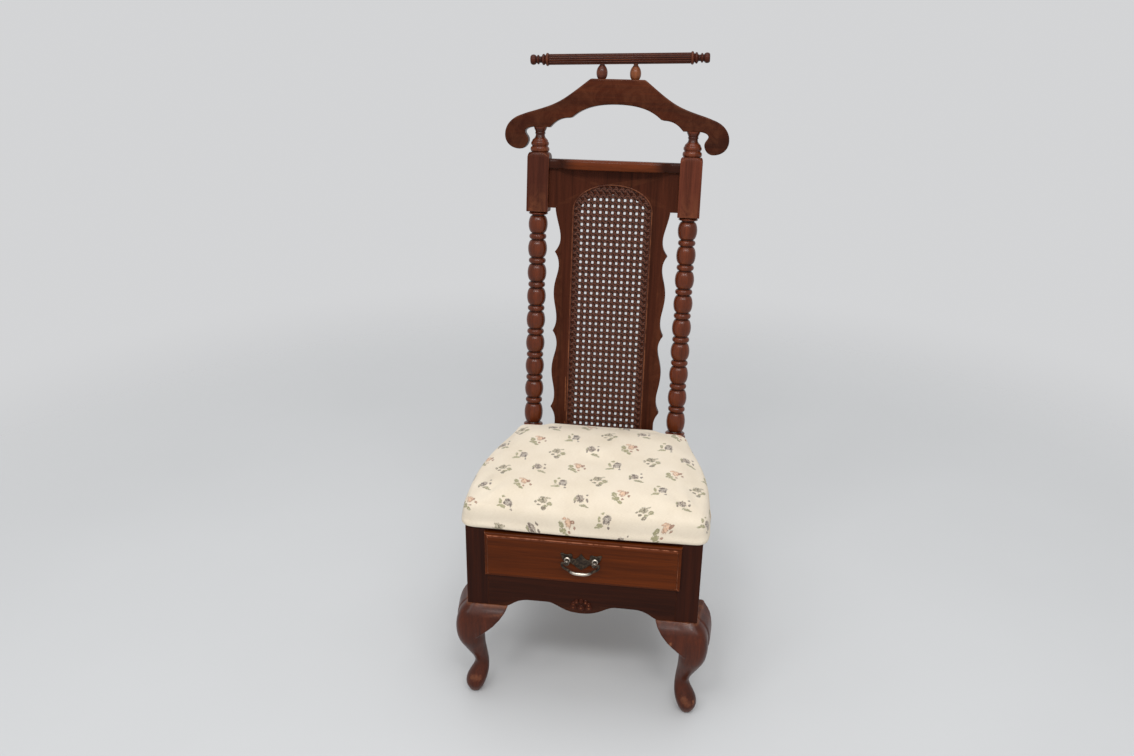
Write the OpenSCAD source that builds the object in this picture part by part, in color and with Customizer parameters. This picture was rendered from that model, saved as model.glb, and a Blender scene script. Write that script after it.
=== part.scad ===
// Clothes valet chair: a low upholstered seat over a one-drawer case on
// cabriole front legs, with a caned back, bobbin-turned posts, a coat hanger
// and a trouser bar. Millimetres. +Z is up, the front faces -Y.

/* [Case] */
// Width of the case at its front
case_w = 437; // [410:1:470]
// Height of the case, from its lower edge to the seat
case_h = 170; // [160:1:190]
// Height of the legs below the case
leg_h = 212; // [190:1:235]
// Distance from the case's front face to the axes of the back posts
case_depth = 362; // [345:1:390]
// Thickness of the front frame
frame_t = 22; // [19:1:25]
// Width of each front stile
stile_w = 41.5; // [36:0.5:46]
// Height of the rail above the drawer
top_rail_h = 11; // [9:0.5:14]
// Height of the drawer opening
opening_h = 83; // [76:1:90]
// Thickness of the side panels
side_t = 18; // [15:1:20]
// Thickness of the rail between the back posts
back_rail_t = 20; // [16:1:24]
// Length of each leg of a corner block
corner_block = 42; // [36:1:50]
// Height of a corner block
corner_block_h = 40; // [30:1:50]

/* [Apron] */
// Rise of the scalloped lower edge
apron_rise = 17; // [10:1:22]
// Drop of the lower edge at its centre, below the case
apron_drop = 2.5; // [0:0.5:8]
// Half width of the drop at the centre
drop_half_w = 66; // [50:1:80]
// Width of the carved shell
shell_w = 43; // [36:1:50]
// Height of the shell's centre above the case's lower edge
shell_z = 15; // [13:1:20]
// Relief of the shell
shell_t = 3; // [2:0.5:4]

/* [Front legs] */
// Half width of the foot pad
foot_r = 20.4; // [18.4:0.2:22]
// Half width of the ankle
ankle_r = 13.8; // [12.4:0.2:15]
// Half width of the knee
knee_r = 27.4; // [26.4:0.2:28]
// Half width of the top of the leg
leg_top_r = 24.5; // [24:0.5:25.5]
// Projection of the knee beyond the case
knee_out = 23.7; // [22.5:0.1:25]
// Diameter of the dowel on top of the leg
dowel_d = 15; // [12:1:18]
// Length of the dowel
dowel_l = 30; // [20:1:36]
// Length of a knee block from the case's corner
ear_l = 77.5; // [70:0.5:84]
// Height of a knee block against the leg
ear_h = 64; // [58:1:70]

/* [Back posts] */
// Distance between the axes of the posts
post_gap = 306; // [290:1:330]
// Backward lean of the posts, in degrees
rake = 8.5; // [6:0.5:11]
// Side of the posts' square parts
post_sq = 44; // [40:1:48]
// Height of the square above the seat frame, where the turning starts
turn_start = 31; // [26:1:36]
// Diameter of the turned beads
bead_d = 39.4; // [35:0.2:42]
// Diameter of the rings between the beads
ring_d = 35.6; // [32:0.2:38]
// Diameter of the grooves beside the rings
neck_d = 29; // [26:0.5:31]
// Distance from ring to ring
bead_pitch = 50; // [46:0.5:54]
// Number of beads on a post
bead_count = 9; // [8:1:10]
// Height of the square block at the splat's shoulders
block_h = 118; // [105:1:130]
// Length of the turned neck from the block to the hanger
neck_l = 49; // [44:1:56]
// Least diameter of the turned neck
neck_min_d = 18.5; // [17:0.5:22]
// Diameter of the tenon in the hanger
tenon_d = 15; // [12:0.5:16]
// Length of the tenon in the hanger
tenon_l = 18; // [14:1:24]
// Backward reach of the foot behind the post's axis
foot_back = 34; // [20:1:45]
// Side of the back foot at the floor
back_foot = 32; // [28:1:38]

/* [Splat] */
// Thickness of the splat
splat_t = 20; // [18:0.5:24]
// Half width of the splat at its points
splat_half_w = 115.5; // [110:0.5:120]
// Height of the splat's shoulders below the cap rail
shoulder_h = 78; // [70:1:90]
// Distance between the points along each edge
cusp_pitch = 166; // [160:1:170]
// Depth of the deeper scoops beside the points
scoop = 9; // [6:0.5:11]
// Half width of the caned field, at the spline
field_half_w = 82; // [78:0.5:86]
// Rise of the arch over the caned field
field_rise = 54; // [45:1:60]
// Distance from the top of the caned field to the top of the splat
field_top = 26; // [22:1:34]
// Height of the caned field's lower edge above the foot of the splat
field_foot = 26; // [22:1:34]
// Width of the ledge behind the cane's edge
cane_ledge = 12; // [10:0.5:14]
// Width of the spline
spline_w = 4; // [3:0.2:5]
// Depth of the spline's groove
groove_d = 5; // [4:0.5:7]
// Height of the spline's crown above the face
spline_proud = 0.8; // [0.4:0.1:1.4]
// Thickness of the cane
cane_t = 1.4; // [1:0.1:2]
// Distance from hole to hole in the cane
cane_pitch = 15.2; // [14.8:0.1:18]
// Diameter of the holes in the cane
cane_hole_d = 7; // [5:0.5:8]

/* [Cap rail] */
// Height of the cap rail
cap_h = 19.5; // [16:0.5:24]
// Depth of the cap rail at its ends
cap_end_d = 28; // [24:1:34]
// Forward bow of the cap rail's middle
cap_bow = 17; // [10:1:22]
// Half width of the bowed middle
cap_half_w = 96; // [88:1:104]
// Height of the block's top above the cap rail
block_over_cap = 12; // [8:1:18]

/* [Hanger] */
// Reach of the hanger past the axis of each post
hanger_over = 70.5; // [64:0.5:76]
// Height of the hanger's flat top above the posts
hanger_h = 95.5; // [88:0.5:104]
// Half width of the flat top
hanger_flat = 55; // [48:1:60]
// Height of the arch above the posts
hanger_arch = 47.5; // [42:0.5:54]
// Depth of the hanger's scrolled ends below its seat
scroll_drop = 43.5; // [38:0.5:48]
// Thickness of the hanger
hanger_t = 24; // [20:1:28]

/* [Trouser bar] */
// Length of the bar
bar_l = 352; // [330:1:380]
// Diameter of the bar's shaft
bar_d = 20.6; // [18:0.2:24]
// Number of flutes round the shaft
flute_count = 14; // [10:1:18]
// Diameter of a flute
flute_d = 3.4; // [2.4:0.2:4]
// Length of each turned end
bar_end_l = 37; // [34:1:42]
// Lift of the bar's right end, in degrees
bar_tilt = 1.9; // [0:0.1:3]
// Distance between the two supports
egg_gap = 66; // [56:1:80]
// Diameter of an egg-shaped support
egg_d = 22; // [19:0.5:25]
// Height of an egg-shaped support
egg_h = 26.5; // [23:0.5:32]
// Diameter of a support's tenon
egg_tenon_d = 9; // [7:0.5:11]
// Tenon showing between a support and the bar, at the middle
egg_tenon_show = 2; // [1.5:0.1:4]

/* [Drawer] */
// Overlap of the drawer's lip on the frame
lip = 5; // [4:0.5:7]
// Thickness of the lip
lip_t = 7; // [5:0.5:9]
// Thickness of the drawer front behind its raised field
front_t = 20; // [18:0.5:22]
// Projection of the raised field in front of the lip
field_t = 5; // [3:0.5:7]
// Width of the moulded step round the raised field
step_w = 6; // [4:0.5:8]
// Width of the drawer's guides at their rear ends
guide_w = 6.3; // [4:0.1:12]
// Depth of the drawer's box behind the front
box_depth = 285; // [260:1:300]
// Height of the drawer's sides
box_h = 72; // [60:1:74]
// Thickness of the drawer's sides and back
box_t = 12; // [10:0.5:14]
// Thickness of the drawer's bottom
bottom_t = 5; // [4:0.5:6]
// Height of the drawer's bottom above the lower edge of its sides
bottom_up = 9; // [7:0.5:12]
// Depth of the groove that holds the bottom
groove = 5; // [4:0.5:6]

/* [Pull] */
// Half width of the backplate
plate_half_w = 38.5; // [35:0.5:42]
// Thickness of the backplate
plate_t = 1.8; // [1.4:0.1:2.4]
// Distance between the pull's posts
pull_gap = 51; // [47:0.5:55]
// Diameter of a pull post's head
pull_post_d = 10; // [9:0.5:12]
// Distance from the backplate to the bail's axis
bail_stand = 10.5; // [9.5:0.5:13]
// Diameter of the bail's rod
bail_d = 5; // [4:0.2:5.6]
// Drop of the bail below its axis
bail_drop = 21.5; // [19:0.5:24]
// Diameter of the pins at the ends of the bail
bail_pin_d = 3; // [2.4:0.1:3.6]
// Height of the bail's axis above the drawer's lower edge
pull_z = 53; // [48:0.5:56]

/* [Seat] */
// Thickness of the seat board
board_t = 12; // [9:0.5:15]
// Distance from the case's edge to the seat board
board_inset = 12; // [10:0.5:18]
// Height of the cushion at its sides
cushion_side_h = 50; // [44:1:58]
// How much higher its sides are at the back
cushion_lift = 9; // [0:1:14]
// Rise of the cushion's crown above its sides
cushion_crown = 20; // [12:1:26]
// Overhang of the cushion at the front
cushion_front = 9; // [6:0.5:14]
// Overhang of the cushion at its sides
cushion_over = 11.5; // [8:0.5:15]
// Width of the cushion's drawn-in lower edge
cushion_draw = 6; // [4:0.5:9]

/* [Clearances] */
// Gap between pieces that slide on each other
slide_gap = 0.6; // [0.4:0.1:1]
// Gap round the drawer front in its opening
opening_gap = 2.5; // [1.5:0.5:4]
// Radial gap round a dowel or tenon
joint_gap = 0.2; // [0.1:0.05:0.4]
// Radial gap round the bail's pins
pin_gap = 0.05; // [0.02:0.01:0.08]
// Gap between the cushion and the pieces behind it
soft_gap = 2; // [1:0.5:4]

/* [Hidden] */

MAHOGANY = "#5a2a1a";
ORANGE_WOOD = "#8a4322";
PLAIN_WOOD = "#b98d5e";
CANE = "#6d4330";
BRASS = "#57492f";
FABRIC = "#e8dcc0";

ROUND = 48; // sides of a round that nothing turns in

// Heights and half widths that several pieces share
case_top = leg_h + case_h;
half_w = case_w / 2;
open_half = half_w - stile_w;
open_top = case_top - top_rail_h;
open_bottom = open_top - opening_h;
post_x = post_gap / 2;
post_front = case_depth - post_sq / 2;
post_in = post_x - post_sq / 2;
post_out = post_x + post_sq / 2;
side_run = post_front - frame_t;
side_angle = atan((half_w - post_out) / side_run);
side_skin = side_t / cos(side_angle);

// Heights along the posts, from the top of the seat frame
base_ring = turn_start + 15;
block_z = base_ring + bead_count * bead_pitch + 1.5;
block_top = block_z + block_h;
hanger_z = block_top + neck_l;
cap_top = block_top - block_over_cap;
splat_top = cap_top - cap_h;
shoulder_z = splat_top - shoulder_h;
hanger_top = hanger_z + hanger_h;
bar_z = hanger_top + egg_h + egg_tenon_show + bar_d / 2;

// The caned field, up the splat
splat_foot = 1.2;
field_z = splat_foot + field_foot;
field_top_z = splat_top - field_top;
arch_z = field_top_z - field_rise;

// The drawer and its pull
front_y = -slide_gap - lip_t - field_t;
box_half = inner_at(post_front) - guide_w - slide_gap;
box_z = open_bottom + slide_gap + 4;
box_y = front_t - lip_t - slide_gap;
plate_y = front_y - plate_t;
bail_y = plate_y - bail_stand;
bail_z = open_bottom - lip + pull_z;
drawer_low = open_bottom - lip;
drawer_high = open_top + lip;

// The model stands centred on its own length
bar_collar_d = bar_d + 4.4;
most_front = bail_y - pull_post_d / 2;
bar_y = case_depth + bar_z * sin(rake);
most_back = bar_y + bar_collar_d / 2;
centre_y = (most_front + most_back) / 2;

// Points of a cubic curve, without its last one
function curve(a, b, c, d, n = 7) = [
    for (i = [0 : n - 1]) let (u = i / n, v = 1 - u)
        v * v * v * a + 3 * v * v * u * b + 3 * v * u * u * c + u * u * u * d
];

// A half outline with its mirror image, in drawing order
function both(half) = concat(half, [for (i = [len(half) - 1 : -1 : 0]) [-half[i][0], half[i][1]]]);

// One value of a smooth line through the values of a list
function smooth(list, i, u) = let (
    last = len(list) - 1,
    a = list[max(i - 1, 0)], b = list[i], c = list[min(i + 1, last)], d = list[min(i + 2, last)]
) b + u * ((c - a) + u * ((2 * a - 5 * b + 4 * c - d) + u * (3 * b - 3 * c + d - a))) / 2;

// Places the model in its own frame
module placed() {
    translate([0, -centre_y, 0]) children();
}

// The leaning frame of the posts, with its origin on top of the seat frame
module leaning() {
    placed() translate([0, case_depth, case_top]) rotate([-rake, 0, 0]) children();
}

// An outline in x and height, as a board whose faces are at y0 and y0 + t
module board(y0, t) {
    translate([0, y0 + t, 0]) rotate([90, 0, 0]) linear_extrude(height = t) children();
}

// Left or right copy of a piece drawn on the right
module sided(side) {
    mirror([side < 0 ? 1 : 0, 0, 0]) children();
}

// The frame of a front corner: +X runs in along the front, +Y runs back
module corner(side) {
    placed() sided(side) translate([half_w, 0, 0]) mirror([1, 0, 0]) children();
}

// Skin through rings of equal length, closed at both ends
module skin(rings) {
    n = len(rings[0]);
    last = len(rings) - 1;
    points = [for (ring = rings) each ring];
    walls = [
        for (i = [0 : last - 1], j = [0 : n - 1]) let (
            a = i * n + j, b = i * n + (j + 1) % n, c = b + n, d = a + n
        ) each [[a, c, b], [a, d, c]]
    ];
    low = [for (j = [0 : n - 3]) [n - 1, j, j + 1]];
    high = [for (j = [0 : n - 3]) [last * n + n - 1, last * n + j + 1, last * n + j]];
    polyhedron(points = points, faces = concat(walls, low, high), convexity = 4);
}

// ---------------------------------------------------------------- front legs

leg_sides = 20;
// Share of the height, setback of the centre from the corner, half width, squareness
leg_stations = let (c = knee_r - knee_out) [
    [0.000, 8.5, foot_r - 11.4, 2.0],
    [0.040, 8.6, foot_r - 5.5, 2.0],
    [0.090, 9.2, foot_r - 1.4, 2.0],
    [0.145, 11.8, foot_r, 2.0],
    [0.195, 15.4, foot_r - 1.6, 2.0],
    [0.245, 18.8, ankle_r + 2.2, 2.0],
    [0.300, 20.6, ankle_r, 2.0],
    [0.365, 18.7, ankle_r + 0.9, 2.0],
    [0.440, 14.3, ankle_r + 3.9, 2.0],
    [0.520, c + 5.9, knee_r - 6.3, 2.1],
    [0.600, c + 2.0, knee_r - 2.9, 2.3],
    [0.680, c + 0.1, knee_r - 1.1, 2.5],
    [0.760, c + 1.6, knee_r + 1.6, 2.8],
    [0.825, c + 4.6, knee_r + 3.7, 3.0],
    [0.870, c + 7.7, knee_r + 4.6, 3.1],
    [0.908, c + 10.6, knee_r + 4.1, 3.3],
    [0.940, c + 13.6, knee_r + 2.3, 3.5],
    [1.000, leg_top_r - 0.5, leg_top_r, 4.0]
];
leg_steps = 2;

function leg_ring(s) = [
    for (j = [0 : leg_sides - 1]) let (
        a = j * 360 / leg_sides,
        r = s[2] / pow(pow(abs(cos(a)), s[3]) + pow(abs(sin(a)), s[3]), 1 / s[3])
    ) [s[1] + r * cos(a), s[1] + r * sin(a), s[0] * leg_h]
];

module leg_body() {
    last = len(leg_stations) - 1;
    skin(concat(
        [for (i = [0 : last - 1], k = [0 : leg_steps - 1]) leg_ring(smooth(leg_stations, i, k / leg_steps))],
        [leg_ring(leg_stations[last])]
    ));
}

dowel_at = frame_t + dowel_d / 2 + 1;
leg_in = 2 * leg_top_r + 2;

ear_start = 20;
ear_rings = 6;
ear_tip_h = 2;
ear_face_steps = 7;
// Share of the leg's height below the case, and share of the knee's projection
knee_face = [
    [0, 0.02], [0.031, 0.27], [0.060, 0.52], [0.092, 0.73], [0.130, 0.87],
    [0.175, 0.96], [0.240, 1], [0.320, 0.95], [0.400, 0.81]
];

// One section of the swell beside the knee, at distance a from the case's corner
function ear_ring(a) = let (
    h = ear_tip_h + ear_h * pow((ear_l - a) / (ear_l - ear_start), 0.75)
) [
    for (p = concat(
        [for (i = [0 : ear_face_steps]) let (d = h * i / ear_face_steps)
            [-knee_out * lookup(d / leg_h, knee_face), leg_h - d]],
        [[frame_t, leg_h - h], [frame_t, leg_h]]
    )) [a, p[0], p[1]]
];

// The swell beside the knee, from a0 to a1 along the front
module ear(a0, a1) {
    skin([for (i = [0 : ear_rings]) ear_ring(a0 + (a1 - a0) * i / ear_rings)]);
}

// Turns a piece drawn along the front so that it lies along the side panel
module along_side() {
    rotate([0, 0, side_angle]) mirror([1, -1, 0]) children();
}

// The leg carries the first part of both swells, up to its flat joints with the knee blocks
module front_leg(side) {
    color(MAHOGANY) corner(side) {
        leg_body();
        ear(ear_start, leg_in);
        along_side() ear(ear_start, leg_in);
        translate([dowel_at, dowel_at, leg_h - 1]) cylinder(d = dowel_d, h = dowel_l + 1, $fn = ROUND);
    }
}

module knee_block_front(side) {
    color(MAHOGANY) corner(side) ear(leg_in, ear_l);
}

module knee_block_side(side) {
    color(MAHOGANY) corner(side) along_side() ear(leg_in, ear_l);
}

// ---------------------------------------------------------------------- case

module front_stile(side) {
    color(MAHOGANY) placed() sided(side)
        translate([open_half, 0, leg_h]) cube([stile_w, frame_t, case_h]);
}

module top_rail() {
    color(MAHOGANY) placed()
        translate([-open_half, 0, open_top]) cube([2 * open_half, frame_t, top_rail_h]);
}

apron_high = leg_h + apron_rise;
apron_low = leg_h - apron_drop;
ear_tip_x = half_w - ear_l;

apron_half = concat(
    [[open_half, open_bottom], [open_half, leg_h]],
    curve([ear_tip_x, leg_h], [ear_tip_x - 10, leg_h + 4],
          [ear_tip_x - 18, apron_high], [ear_tip_x - 44, apron_high]),
    curve([drop_half_w, apron_high], [drop_half_w - 21, apron_high],
          [drop_half_w - 28, apron_low], [0, apron_low], 10)
);

module apron() {
    color(MAHOGANY) placed() board(0, frame_t) polygon(both(apron_half));
}

big_petals = [-1, 0, 1];
small_petals = [-2, -1, 0, 1, 2];
petal_sides = 12;

// A low oval dome, r wide and h high, turned by angle a
module petal(x, z, r, h, a) {
    translate([x, 0, z]) rotate([90, a, 0]) scale([r, h, shell_t])
        rotate_extrude($fn = petal_sides * 2)
            polygon([[0, -0.2], [1, -0.2], [1, 0], [0.8, 0.6], [0.4, 0.92], [0, 1]]);
}

module shell_carving() {
    r = shell_w / 6.4;
    color(MAHOGANY) placed() translate([0, 0, leg_h + shell_z]) difference() {
        union() {
            board(-shell_t * 0.3, shell_t) polygon([
                for (i = [0 : 23]) [shell_w * 0.4 * cos(i * 15), shell_w * 0.28 * sin(i * 15)]
            ]);
            for (i = big_petals) petal(i * (shell_w / 2 - r), -r * 0.6 + abs(i), r, r * 0.95, i * 20);
            for (i = small_petals) petal(r * 2.4 * sin(i * 32), r * 2.1 * cos(i * 32) - r * 0.4,
                                         r * 0.6, r * 0.85, i * 30);
        }
        translate([-shell_w, 0, -shell_w]) cube([2 * shell_w, shell_w, 2 * shell_w]);
    }
}

side_plan = [
    [half_w, frame_t], [post_out, post_front],
    [post_out - side_skin, post_front], [half_w - side_skin, frame_t]
];

module side_panel(side) {
    color(MAHOGANY) placed() sided(side)
        translate([0, 0, leg_h]) linear_extrude(height = case_h) polygon(side_plan);
}

module back_rail() {
    color(MAHOGANY) placed() translate([-post_in, case_depth - back_rail_t / 2, leg_h])
        cube([2 * post_in, back_rail_t, case_h]);
}

// Half width between the side panels at a distance y from the front
function inner_at(y) = half_w - side_skin - (y - frame_t) * tan(side_angle);

module corner_block_piece(side) {
    color(PLAIN_WOOD) placed() sided(side) difference() {
        translate([0, 0, leg_h]) linear_extrude(height = corner_block_h) polygon([
            [inner_at(frame_t), frame_t],
            [inner_at(frame_t + corner_block), frame_t + corner_block],
            [inner_at(frame_t) - corner_block, frame_t]
        ]);
        translate([half_w - dowel_at, dowel_at, leg_h - 1])
            cylinder(d = dowel_d + 2 * joint_gap, h = corner_block_h + 2, $fn = ROUND);
    }
}

runner_t = 12;
guide_h = 18;
runner_in = box_half - box_t - 6;
guide_x = box_half + slide_gap;

// Plan of a strip from x0 out to the side panel, over the length of the case
function strip_plan(x0) = [
    [x0, frame_t], [inner_at(frame_t), frame_t], [inner_at(post_front), post_front], [x0, post_front]
];

module drawer_runner(side) {
    color(PLAIN_WOOD) placed() sided(side) {
        translate([0, 0, box_z - slide_gap - runner_t])
            linear_extrude(height = runner_t) polygon(strip_plan(runner_in));
        translate([guide_x, frame_t, box_z - slide_gap])
            cube([inner_at(post_front) - guide_x, side_run, guide_h]);
    }
}

module drawer_kicker(side) {
    z = box_z + box_h + slide_gap;
    color(PLAIN_WOOD) placed() sided(side)
        translate([0, 0, z]) linear_extrude(height = case_top - z) polygon(strip_plan(runner_in));
}

// ---------------------------------------------------------------- back posts

bead_r = bead_d / 2;
ring_r = ring_d / 2;
neck_r = neck_d / 2;
ring_h = 8;
bead_power = 2.15;

// Half of a bead or ring: radius r swelling out of radius r0 between heights z0 and z1
function swell(r0, r, z0, z1, n = 10, power = 2) = [
    for (i = [0 : n]) let (u = 2 * i / n - 1)
        [r0 + (r - r0) * pow(1 - pow(abs(u), power), 1 / power), z0 + (z1 - z0) * i / n]
];

function bead_at(z) = concat(
    swell(neck_r, ring_r, z - ring_h / 2, z + ring_h / 2, 6),
    swell(neck_r, bead_r, z + ring_h / 2 + 1.5, z + bead_pitch - ring_h / 2 - 1.5, 12, bead_power)
);

turning = concat(
    [[0, turn_start - 1], [post_sq / 2 - 1, turn_start - 1], [post_sq / 2 - 4, turn_start + 3],
     [neck_r + 1, turn_start + 6]],
    swell(neck_r + 1, bead_r + 1, base_ring - 8, base_ring - 1, 6),
    [for (i = [0 : bead_count - 1]) each (
        i == 0
            ? swell(neck_r, bead_r, base_ring + 1, base_ring + bead_pitch - ring_h / 2 - 1.5, 12, bead_power)
            : bead_at(base_ring + i * bead_pitch)
    )],
    swell(neck_r, bead_r, block_z - 7, block_z - 1, 6),
    [[neck_r, block_z - 0.5], [neck_r, block_z + 1], [0, block_z + 1]]
);

upper_neck = concat(
    [[0, block_top - 1], [bead_r - 3.5, block_top - 1]],
    swell(bead_r - 3.5, bead_r - 0.4, block_top + 0.5, block_top + 11, 6),
    swell(bead_r - 3.5, bead_r - 1.6, block_top + 13, block_top + 21, 6),
    curve([bead_r - 3.5, block_top + 22], [bead_r - 4.5, block_top + 27],
          [neck_min_d / 2 + 0.5, block_top + 27], [neck_min_d / 2, neck_l - 15 + block_top], 8),
    swell(neck_min_d / 2, neck_min_d / 2 + 1.2, hanger_z - 13.5, hanger_z - 9.5, 4),
    curve([neck_min_d / 2 + 0.6, hanger_z - 9], [neck_min_d / 2 + 1.5, hanger_z - 5],
          [neck_min_d / 2 + 3.5, hanger_z - 4], [neck_min_d / 2 + 4, hanger_z], 6),
    [[neck_min_d / 2 + 4, hanger_z], [tenon_d / 2, hanger_z],
     [tenon_d / 2, hanger_z + tenon_l], [0, hanger_z + tenon_l]]
);

block_round = 9;

// Side view of the square part, from the floor to the start of the turning
post_profile = let (
    s = post_sq / 2, f = back_foot / 2, back = case_depth + foot_back,
    up = turn_start * [sin(rake), cos(rake)], across = [cos(rake), -sin(rake)] * s
) [
    [back - f, 0], [back + f, 0], [case_depth + s, leg_h * 0.86], [case_depth + s, case_top],
    [case_depth + across[0] + up[0], case_top + across[1] + up[1]],
    [case_depth - across[0] + up[0], case_top - across[1] + up[1]],
    [case_depth - s, case_top], [case_depth - s, leg_h * 0.86]
];

// A square block whose upper edges are rounded over, as a designer turns a square to a round
module block_piece() {
    s = post_sq / 2;
    intersection() {
        translate([-s, -s, block_z]) cube([post_sq, post_sq, block_h]);
        translate([0, 0, block_z]) rotate_extrude($fn = ROUND) polygon(concat(
            [[0, 0], [s * 1.45, 0], [s * 1.45, block_h - block_round - 4]],
            curve([s * 1.45, block_h - block_round - 4], [s * 1.3, block_h - 4],
                  [s, block_h], [s - 3, block_h], 6),
            [[s - 3, block_h], [0, block_h]]
        ));
    }
}

module back_post(side) {
    color(MAHOGANY) {
        placed() translate([side * post_x + post_sq / 2, 0, 0]) rotate([90, 0, -90])
            linear_extrude(height = post_sq) mirror([1, 0]) polygon(post_profile);
        leaning() translate([side * post_x, 0, 0]) {
            rotate_extrude($fn = ROUND) polygon(turning);
            block_piece();
            rotate_extrude($fn = ROUND) polygon(upper_neck);
        }
    }
}

// --------------------------------------------------------------------- splat

shallow = scoop - 2;

// One stretch of the scalloped edge, from the point at height z down to the next
function edge_stretch(z) = let (w = splat_half_w, p = cusp_pitch) concat(
    curve([w, z], [w - scoop * 0.7, z - 0.05 * p], [w - scoop, z - 0.11 * p], [w - scoop, z - 0.17 * p], 5),
    curve([w - scoop, z - 0.17 * p], [w - scoop, z - 0.27 * p], [w, z - 0.36 * p], [w, z - 0.5 * p], 6),
    curve([w, z - 0.5 * p], [w, z - 0.64 * p], [w - shallow, z - 0.72 * p], [w - shallow, z - 0.84 * p], 6),
    curve([w - shallow, z - 0.84 * p], [w - shallow, z - 0.91 * p],
          [w - shallow * 0.6, z - 0.95 * p], [w, z - p], 5)
);

first_cusp = shoulder_z - 89;
stretches = floor((first_cusp - splat_foot) / cusp_pitch);
last_cusp = first_cusp - stretches * cusp_pitch;

splat_half = concat(
    [[post_in, splat_top], [post_in, shoulder_z], [splat_half_w + 1, shoulder_z]],
    curve([splat_half_w + 1, shoulder_z], [splat_half_w - 1, shoulder_z - 22],
          [splat_half_w - scoop - 2, shoulder_z - 42], [splat_half_w - scoop - 2, shoulder_z - 60], 6),
    curve([splat_half_w - scoop - 2, shoulder_z - 60], [splat_half_w - scoop - 2, shoulder_z - 74],
          [splat_half_w - 6, first_cusp + 8], [splat_half_w, first_cusp], 5),
    [for (i = [0 : stretches - 1]) each edge_stretch(first_cusp - i * cusp_pitch)],
    curve([splat_half_w, last_cusp], [splat_half_w - 7, last_cusp - 10],
          [splat_half_w - scoop - 1, last_cusp - 18], [splat_half_w - scoop - 1, last_cusp - 32], 5),
    [[splat_half_w - scoop - 1, max(last_cusp - 32, splat_foot)], [splat_half_w - scoop - 1, -splat_t]]
);

arch_steps = 28;

// The arched field, drawn in by d all round
function field_outline(d) = concat(
    [[-field_half_w + d, field_z + d], [field_half_w - d, field_z + d]],
    [for (i = [0 : arch_steps]) let (a = 180 * i / arch_steps)
        [(field_half_w - d) * cos(a), arch_z + (field_rise - d) * sin(a)]]
);

module splat() {
    color(MAHOGANY) leaning() difference() {
        board(-splat_t / 2, splat_t) polygon(both(splat_half));
        // the foot is cut level, to stand on the rail behind the seat
        rotate([rake, 0, 0]) translate([-splat_half_w, -splat_t, -2 * splat_t])
            cube([2 * splat_half_w, 2 * splat_t, 2 * splat_t]);
        board(-splat_t, 2 * splat_t) polygon(field_outline(cane_ledge + spline_w));
        board(-splat_t, splat_t / 2 + cane_t) polygon(field_outline(spline_w));
        board(-splat_t, splat_t / 2 + groove_d) difference() {
            polygon(field_outline(0));
            polygon(field_outline(spline_w));
        }
    }
}

// Holes of the cane, where they clear the window's edge
hole_r = cane_hole_d / 2;
window_half = field_half_w - cane_ledge - spline_w;
window_rise = field_rise - cane_ledge - spline_w;
window_z = field_z + cane_ledge + spline_w;
hole_cols = floor((window_half - hole_r - 1) / cane_pitch);
hole_rows = floor((arch_z + window_rise - window_z - 2 * hole_r) / cane_pitch);

function in_window(x, z) = z < arch_z ||
    pow(x / (window_half - hole_r), 2) + pow((z - arch_z) / (window_rise - hole_r), 2) < 1;

hole_centres = [
    for (i = [-hole_cols : hole_cols], j = [0 : hole_rows]) let (
        x = i * cane_pitch, z = window_z + hole_r + 2 + j * cane_pitch
    ) if (in_window(x, z)) [x, z]
];

module cane_panel() {
    color(CANE) leaning() board(-splat_t / 2 + joint_gap, cane_t - joint_gap) difference() {
        polygon(field_outline(spline_w + joint_gap));
        for (c = hole_centres) translate(c) rotate(22.5) circle(r = hole_r, $fn = 8);
    }
}

module cane_spline() {
    color(MAHOGANY) leaning() board(-splat_t / 2 - spline_proud, groove_d + spline_proud - joint_gap)
        difference() {
            polygon(field_outline(joint_gap));
            polygon(field_outline(spline_w - joint_gap));
        }
}

cap_back = splat_t / 2;

cap_half = concat(
    [[post_in, cap_back], [post_in, cap_back - cap_end_d], [cap_half_w + 22, cap_back - cap_end_d]],
    curve([cap_half_w + 22, cap_back - cap_end_d], [cap_half_w + 8, cap_back - cap_end_d],
          [cap_half_w + 8, cap_back - cap_end_d - cap_bow + 4],
          [cap_half_w - 8, cap_back - cap_end_d - cap_bow + 4], 8),
    curve([cap_half_w - 8, cap_back - cap_end_d - cap_bow + 4],
          [cap_half_w / 2, cap_back - cap_end_d - cap_bow],
          [cap_half_w / 4, cap_back - cap_end_d - cap_bow], [0, cap_back - cap_end_d - cap_bow], 6)
);

module cap_rail() {
    color(ORANGE_WOOD) leaning()
        translate([0, 0, splat_top]) linear_extrude(height = cap_h) polygon(both(cap_half));
}

// -------------------------------------------------------------------- hanger

tip_x = post_x + hanger_over;
seat_in = 20;
seat_out = 14;

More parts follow.
